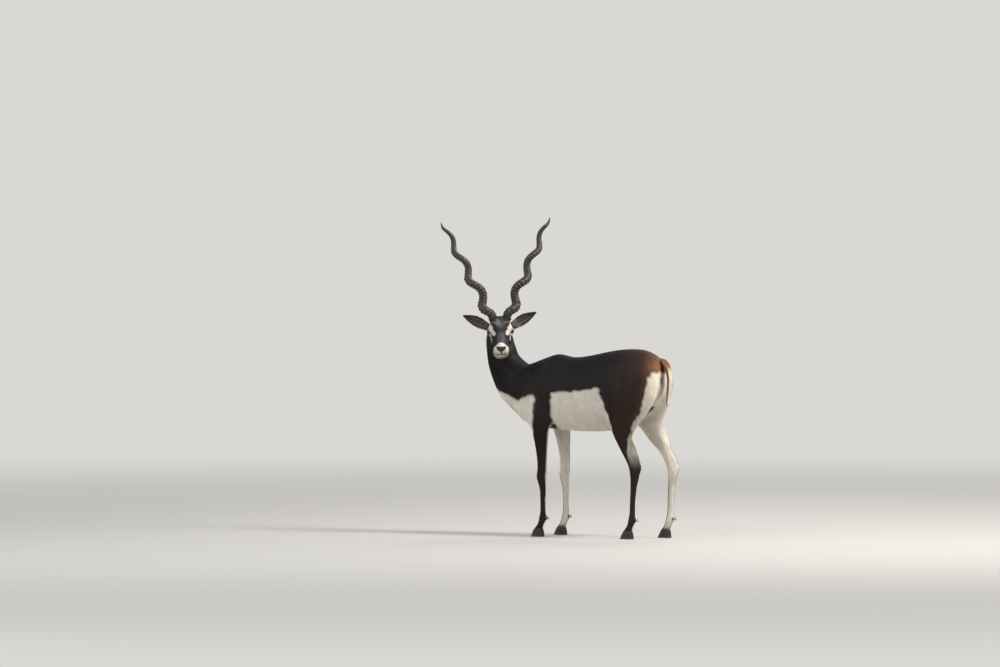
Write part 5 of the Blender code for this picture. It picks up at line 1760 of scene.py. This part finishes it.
@dataclass
class Studio:
    """Pale floor, plain surroundings, soft lights, and the photograph's point of view."""

    surround: float = 0.92
    pixels_per_metre: float = 230.0
    frame_width: int = 1000
    ground_row: float = 537.0
    centre_row: float = 333.5
    origin_column: float = 590.0
    azimuth: float = 30.0
    pitch: float = 1.66
    distance: float = 40.0
    sensor: float = 36.0

    def add_floor(self) -> None:
        """Adds the floor."""
        bpy.ops.mesh.primitive_circle_add(vertices=96, radius=220.0, fill_type="NGON", location=(0, 0, 0))
        floor = bpy.context.active_object
        floor.name = "studio_floor"
        floor.data.materials.append(FloorFinish().material())
        floor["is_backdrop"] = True

    def add_world(self) -> None:
        """Sets plain pale surroundings."""
        world = bpy.data.worlds.new("plain_surroundings")
        world.use_nodes = True
        background = world.node_tree.nodes["Background"]
        background.inputs["Color"].default_value = rgba(FloorFinish().around)
        background.inputs["Strength"].default_value = self.surround
        bpy.context.scene.world = world

    def add_light(self, name: str, azimuth: float, elevation: float, size: float, power: float, tint: str) -> None:
        """Adds one soft area light that faces the animal."""
        data = bpy.data.lights.new(name, "AREA")
        data.shape = "DISK"
        data.size = size
        data.energy = power
        data.color = [float(v) for v in linear(tint)]
        light = bpy.data.objects.new(name, data)
        bpy.context.scene.collection.objects.link(light)
        a, e = math.radians(azimuth), math.radians(elevation)
        back = Vector((math.sin(a) * math.cos(e), -math.cos(a) * math.cos(e), math.sin(e)))
        light.location = Vector((0, 0, 0.7)) + back * 5.0
        light.rotation_euler = (-back).to_track_quat("-Z", "Y").to_euler()

    def add_camera(self) -> None:
        """Adds the camera where the photograph was taken from."""
        a, p = math.radians(self.azimuth), math.radians(self.pitch)
        right = Vector((math.cos(a), math.sin(a), 0.0))
        towards = Vector((math.sin(a), -math.cos(a), 0.0))
        column = (self.frame_width / 2 - self.origin_column) / self.pixels_per_metre
        row = (self.ground_row - self.centre_row) / self.pixels_per_metre
        target = OFFSET + right * column + Vector((0, 0, row))
        back = towards * math.cos(p) + Vector((0, 0, math.sin(p)))
        data = bpy.data.cameras.new("photograph_view")
        data.sensor_width = self.sensor
        data.lens = self.sensor * self.distance * self.pixels_per_metre / self.frame_width
        data.clip_start, data.clip_end = 0.5, 600.0
        camera = bpy.data.objects.new("photograph_view", data)
        camera.location = target + back * self.distance
        camera.rotation_euler = (-back).to_track_quat("-Z", "Y").to_euler()
        bpy.context.scene.collection.objects.link(camera)
        bpy.context.scene.camera = camera

    def build(self) -> None:
        """Adds everything round the animal."""
        bpy.context.scene.view_settings.view_transform = "Standard"
        self.add_floor()
        self.add_world()
        self.add_light("key_soft_sun", 92.0, 46.0, 1.4, 290.0, "fffaf3")
        self.add_light("fill_soft_sky", -20.0, 30.0, 4.0, 90.0, "eef3ff")
        self.add_light("rim_soft_back", 190.0, 45.0, 2.5, 90.0, "ffffff")
        self.add_camera()


@dataclass
class Animal:
    """The whole blackbuck."""

    plan: Plan

    def unwrap_trunk(self, points: Array) -> Array:
        """Trunk and neck rolled off about their length."""
        x, y, z = self.plan.local(points).T
        turn = np.arctan2(y, z - TRUNK_AXIS_HEIGHT) / (2 * math.pi) + 0.5
        return np.stack([turn, (x + 0.52) / 0.94], axis=1)

    def unwrap_neck(self, points: Array) -> Array:
        """Neck rolled off about its length."""
        x, y, z = self.plan.local(points).T
        turn = np.arctan2(y, x + 0.44) / (2 * math.pi) + 0.5
        return np.stack([turn, (z - 0.55) / 0.45], axis=1)

    def unwrap_head(self, points: Array) -> Array:
        """Head rolled off about the line of the face."""
        f, d, o = head_coordinates(points)
        return np.stack([np.arctan2(o, 0.05 - d) / (2 * math.pi) + 0.5, (f + 0.05) / 0.29], axis=1)

    def unwrap_legs(self, points: Array) -> Array:
        """Two legs rolled off side by side."""
        place = self.plan.local(points)
        x, y, z = place.T
        middle = np.where(x < LEG_DIVIDE, np.interp(z, [0.05, 0.3, 0.55], [-0.20, -0.188, -0.21]), 0.255)
        turn = np.arctan2(np.abs(y) - LEG_AXIS_OUT, x - self.plan.swing(place) - middle) / (2 * math.pi) + 0.5
        return np.stack([turn * 0.48 + np.where(y > 0, 0.51, 0.01), z / 0.62], axis=1)

    def build(self) -> None:
        """Builds the pieces in order and dresses them."""
        plan = self.plan
        hair = CoatFinish("coat_hair_black_and_cream").material()
        brown_hair = CoatFinish("tail_hair_brown", roughness=0.55).material()
        skin_finish = SkinFinish("skin_short_haired").material()
        skin, surface = Skin(plan).build()
        ears = [Ear(side).build() for side in (-1, 1)]
        for ear, _ in ears:
            store(ear, np.zeros(len(ear.data.vertices)), "bare")
        rims = [LidRims(side).build() for side in (-1, 1)]
        skin = join([skin] + [ear for ear, _ in ears] + rims, "blackbuck_skin")
        skin.data.materials.clear()
        skin.data.materials.append(skin_finish)
        skin.data.polygons.foreach_set("use_smooth", np.ones(len(skin.data.polygons), bool))
        skin.data.polygons.foreach_set("material_index", np.zeros(len(skin.data.polygons), np.int32))
        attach(skin, "root")
        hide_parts(*FLESH)
        eye_finish = EyeFinish().material()
        horn_finish = HornFinish().material()
        hoof_finish = HoofFinish().material()
        for side in (-1, 1):
            Eye(side).build(eye_finish)
            Lashes(side).build(hair)
            Horn(side).build(horn_finish)
        for limb in ("fore", "hind"):
            for hand in ("left", "right"):
                for inner in (False, True):
                    Claw(limb, hand, inner).build(hoof_finish)
        DewClaws().build(hoof_finish)
        self.grow_coat(surface, [s for _, s in ears], hair)
        TailTuft(plan).build(brown_hair)

    def grow_coat(self, surface: Surface, ears: list[Surface], hair: Material) -> None:
        """Grows every piece of coat."""
        plan = self.plan
        points = surface.points
        x = plan.local(points)[:, 0]
        head, neck, leg = plan.head(points), plan.neck(points), plan.leg(points)
        is_head = head > 0.5
        is_neck = (neck > 0.5) & ~is_head
        is_leg = (leg > 0.5) & ~is_head & ~is_neck
        tail = distance_to_line(points, [Vector((row[0], 0.0, row[1])) + OFFSET for row in TAIL])
        trunk = ~is_head & ~is_neck & ~is_leg & (tail > 0.0125)
        thin = 1.0
        pieces = [
            ("coat_neck", is_neck, 42000, 0.0012, self.unwrap_neck),
            ("coat_shoulders", trunk & (x < -0.13), 44500, 0.0013, self.unwrap_trunk),
            ("coat_barrel_front", trunk & (x >= -0.13) & (x < 0.03), 41500, 0.0013, self.unwrap_trunk),
            ("coat_barrel_rear", trunk & (x >= 0.03) & (x < 0.19), 41500, 0.0013, self.unwrap_trunk),
            ("coat_haunches", trunk & (x >= 0.19), 44500, 0.0013, self.unwrap_trunk),
            ("coat_forelegs", is_leg & (x < LEG_DIVIDE), 38500, 0.0009, self.unwrap_legs),
            ("coat_hindlegs", is_leg & (x >= LEG_DIVIDE), 40500, 0.0010, self.unwrap_legs),
            ("coat_head", is_head, 48500, 0.0007, self.unwrap_head),
        ]
        for number, (name, mask, count, width, unwrap) in enumerate(pieces):
            coat = Coat(name, surface, mask.astype(float), int(count * thin), width, 100 + number, unwrap=unwrap)
            coat.build(hair)
        for side, ear in zip(("right", "left"), ears):
            everywhere, seed = np.ones(len(ear.points)), 130 + len(side)
            coat = Coat("coat_ear_" + side, ear, everywhere, int(7500 * thin), 0.0006, seed, "grey_coat", 0.12)
            coat.build(hair)


def main() -> None:
    """Builds the animal and the studio round it."""
    logging.basicConfig(level=logging.INFO, format="%(message)s")
    Animal(Plan()).build()
    Studio().build()
    total = sum(len(o.data.polygons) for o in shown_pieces() if o.type == "MESH")
    log.info("all pieces: about %d faces", total)


if __name__ == "__main__":
    main()
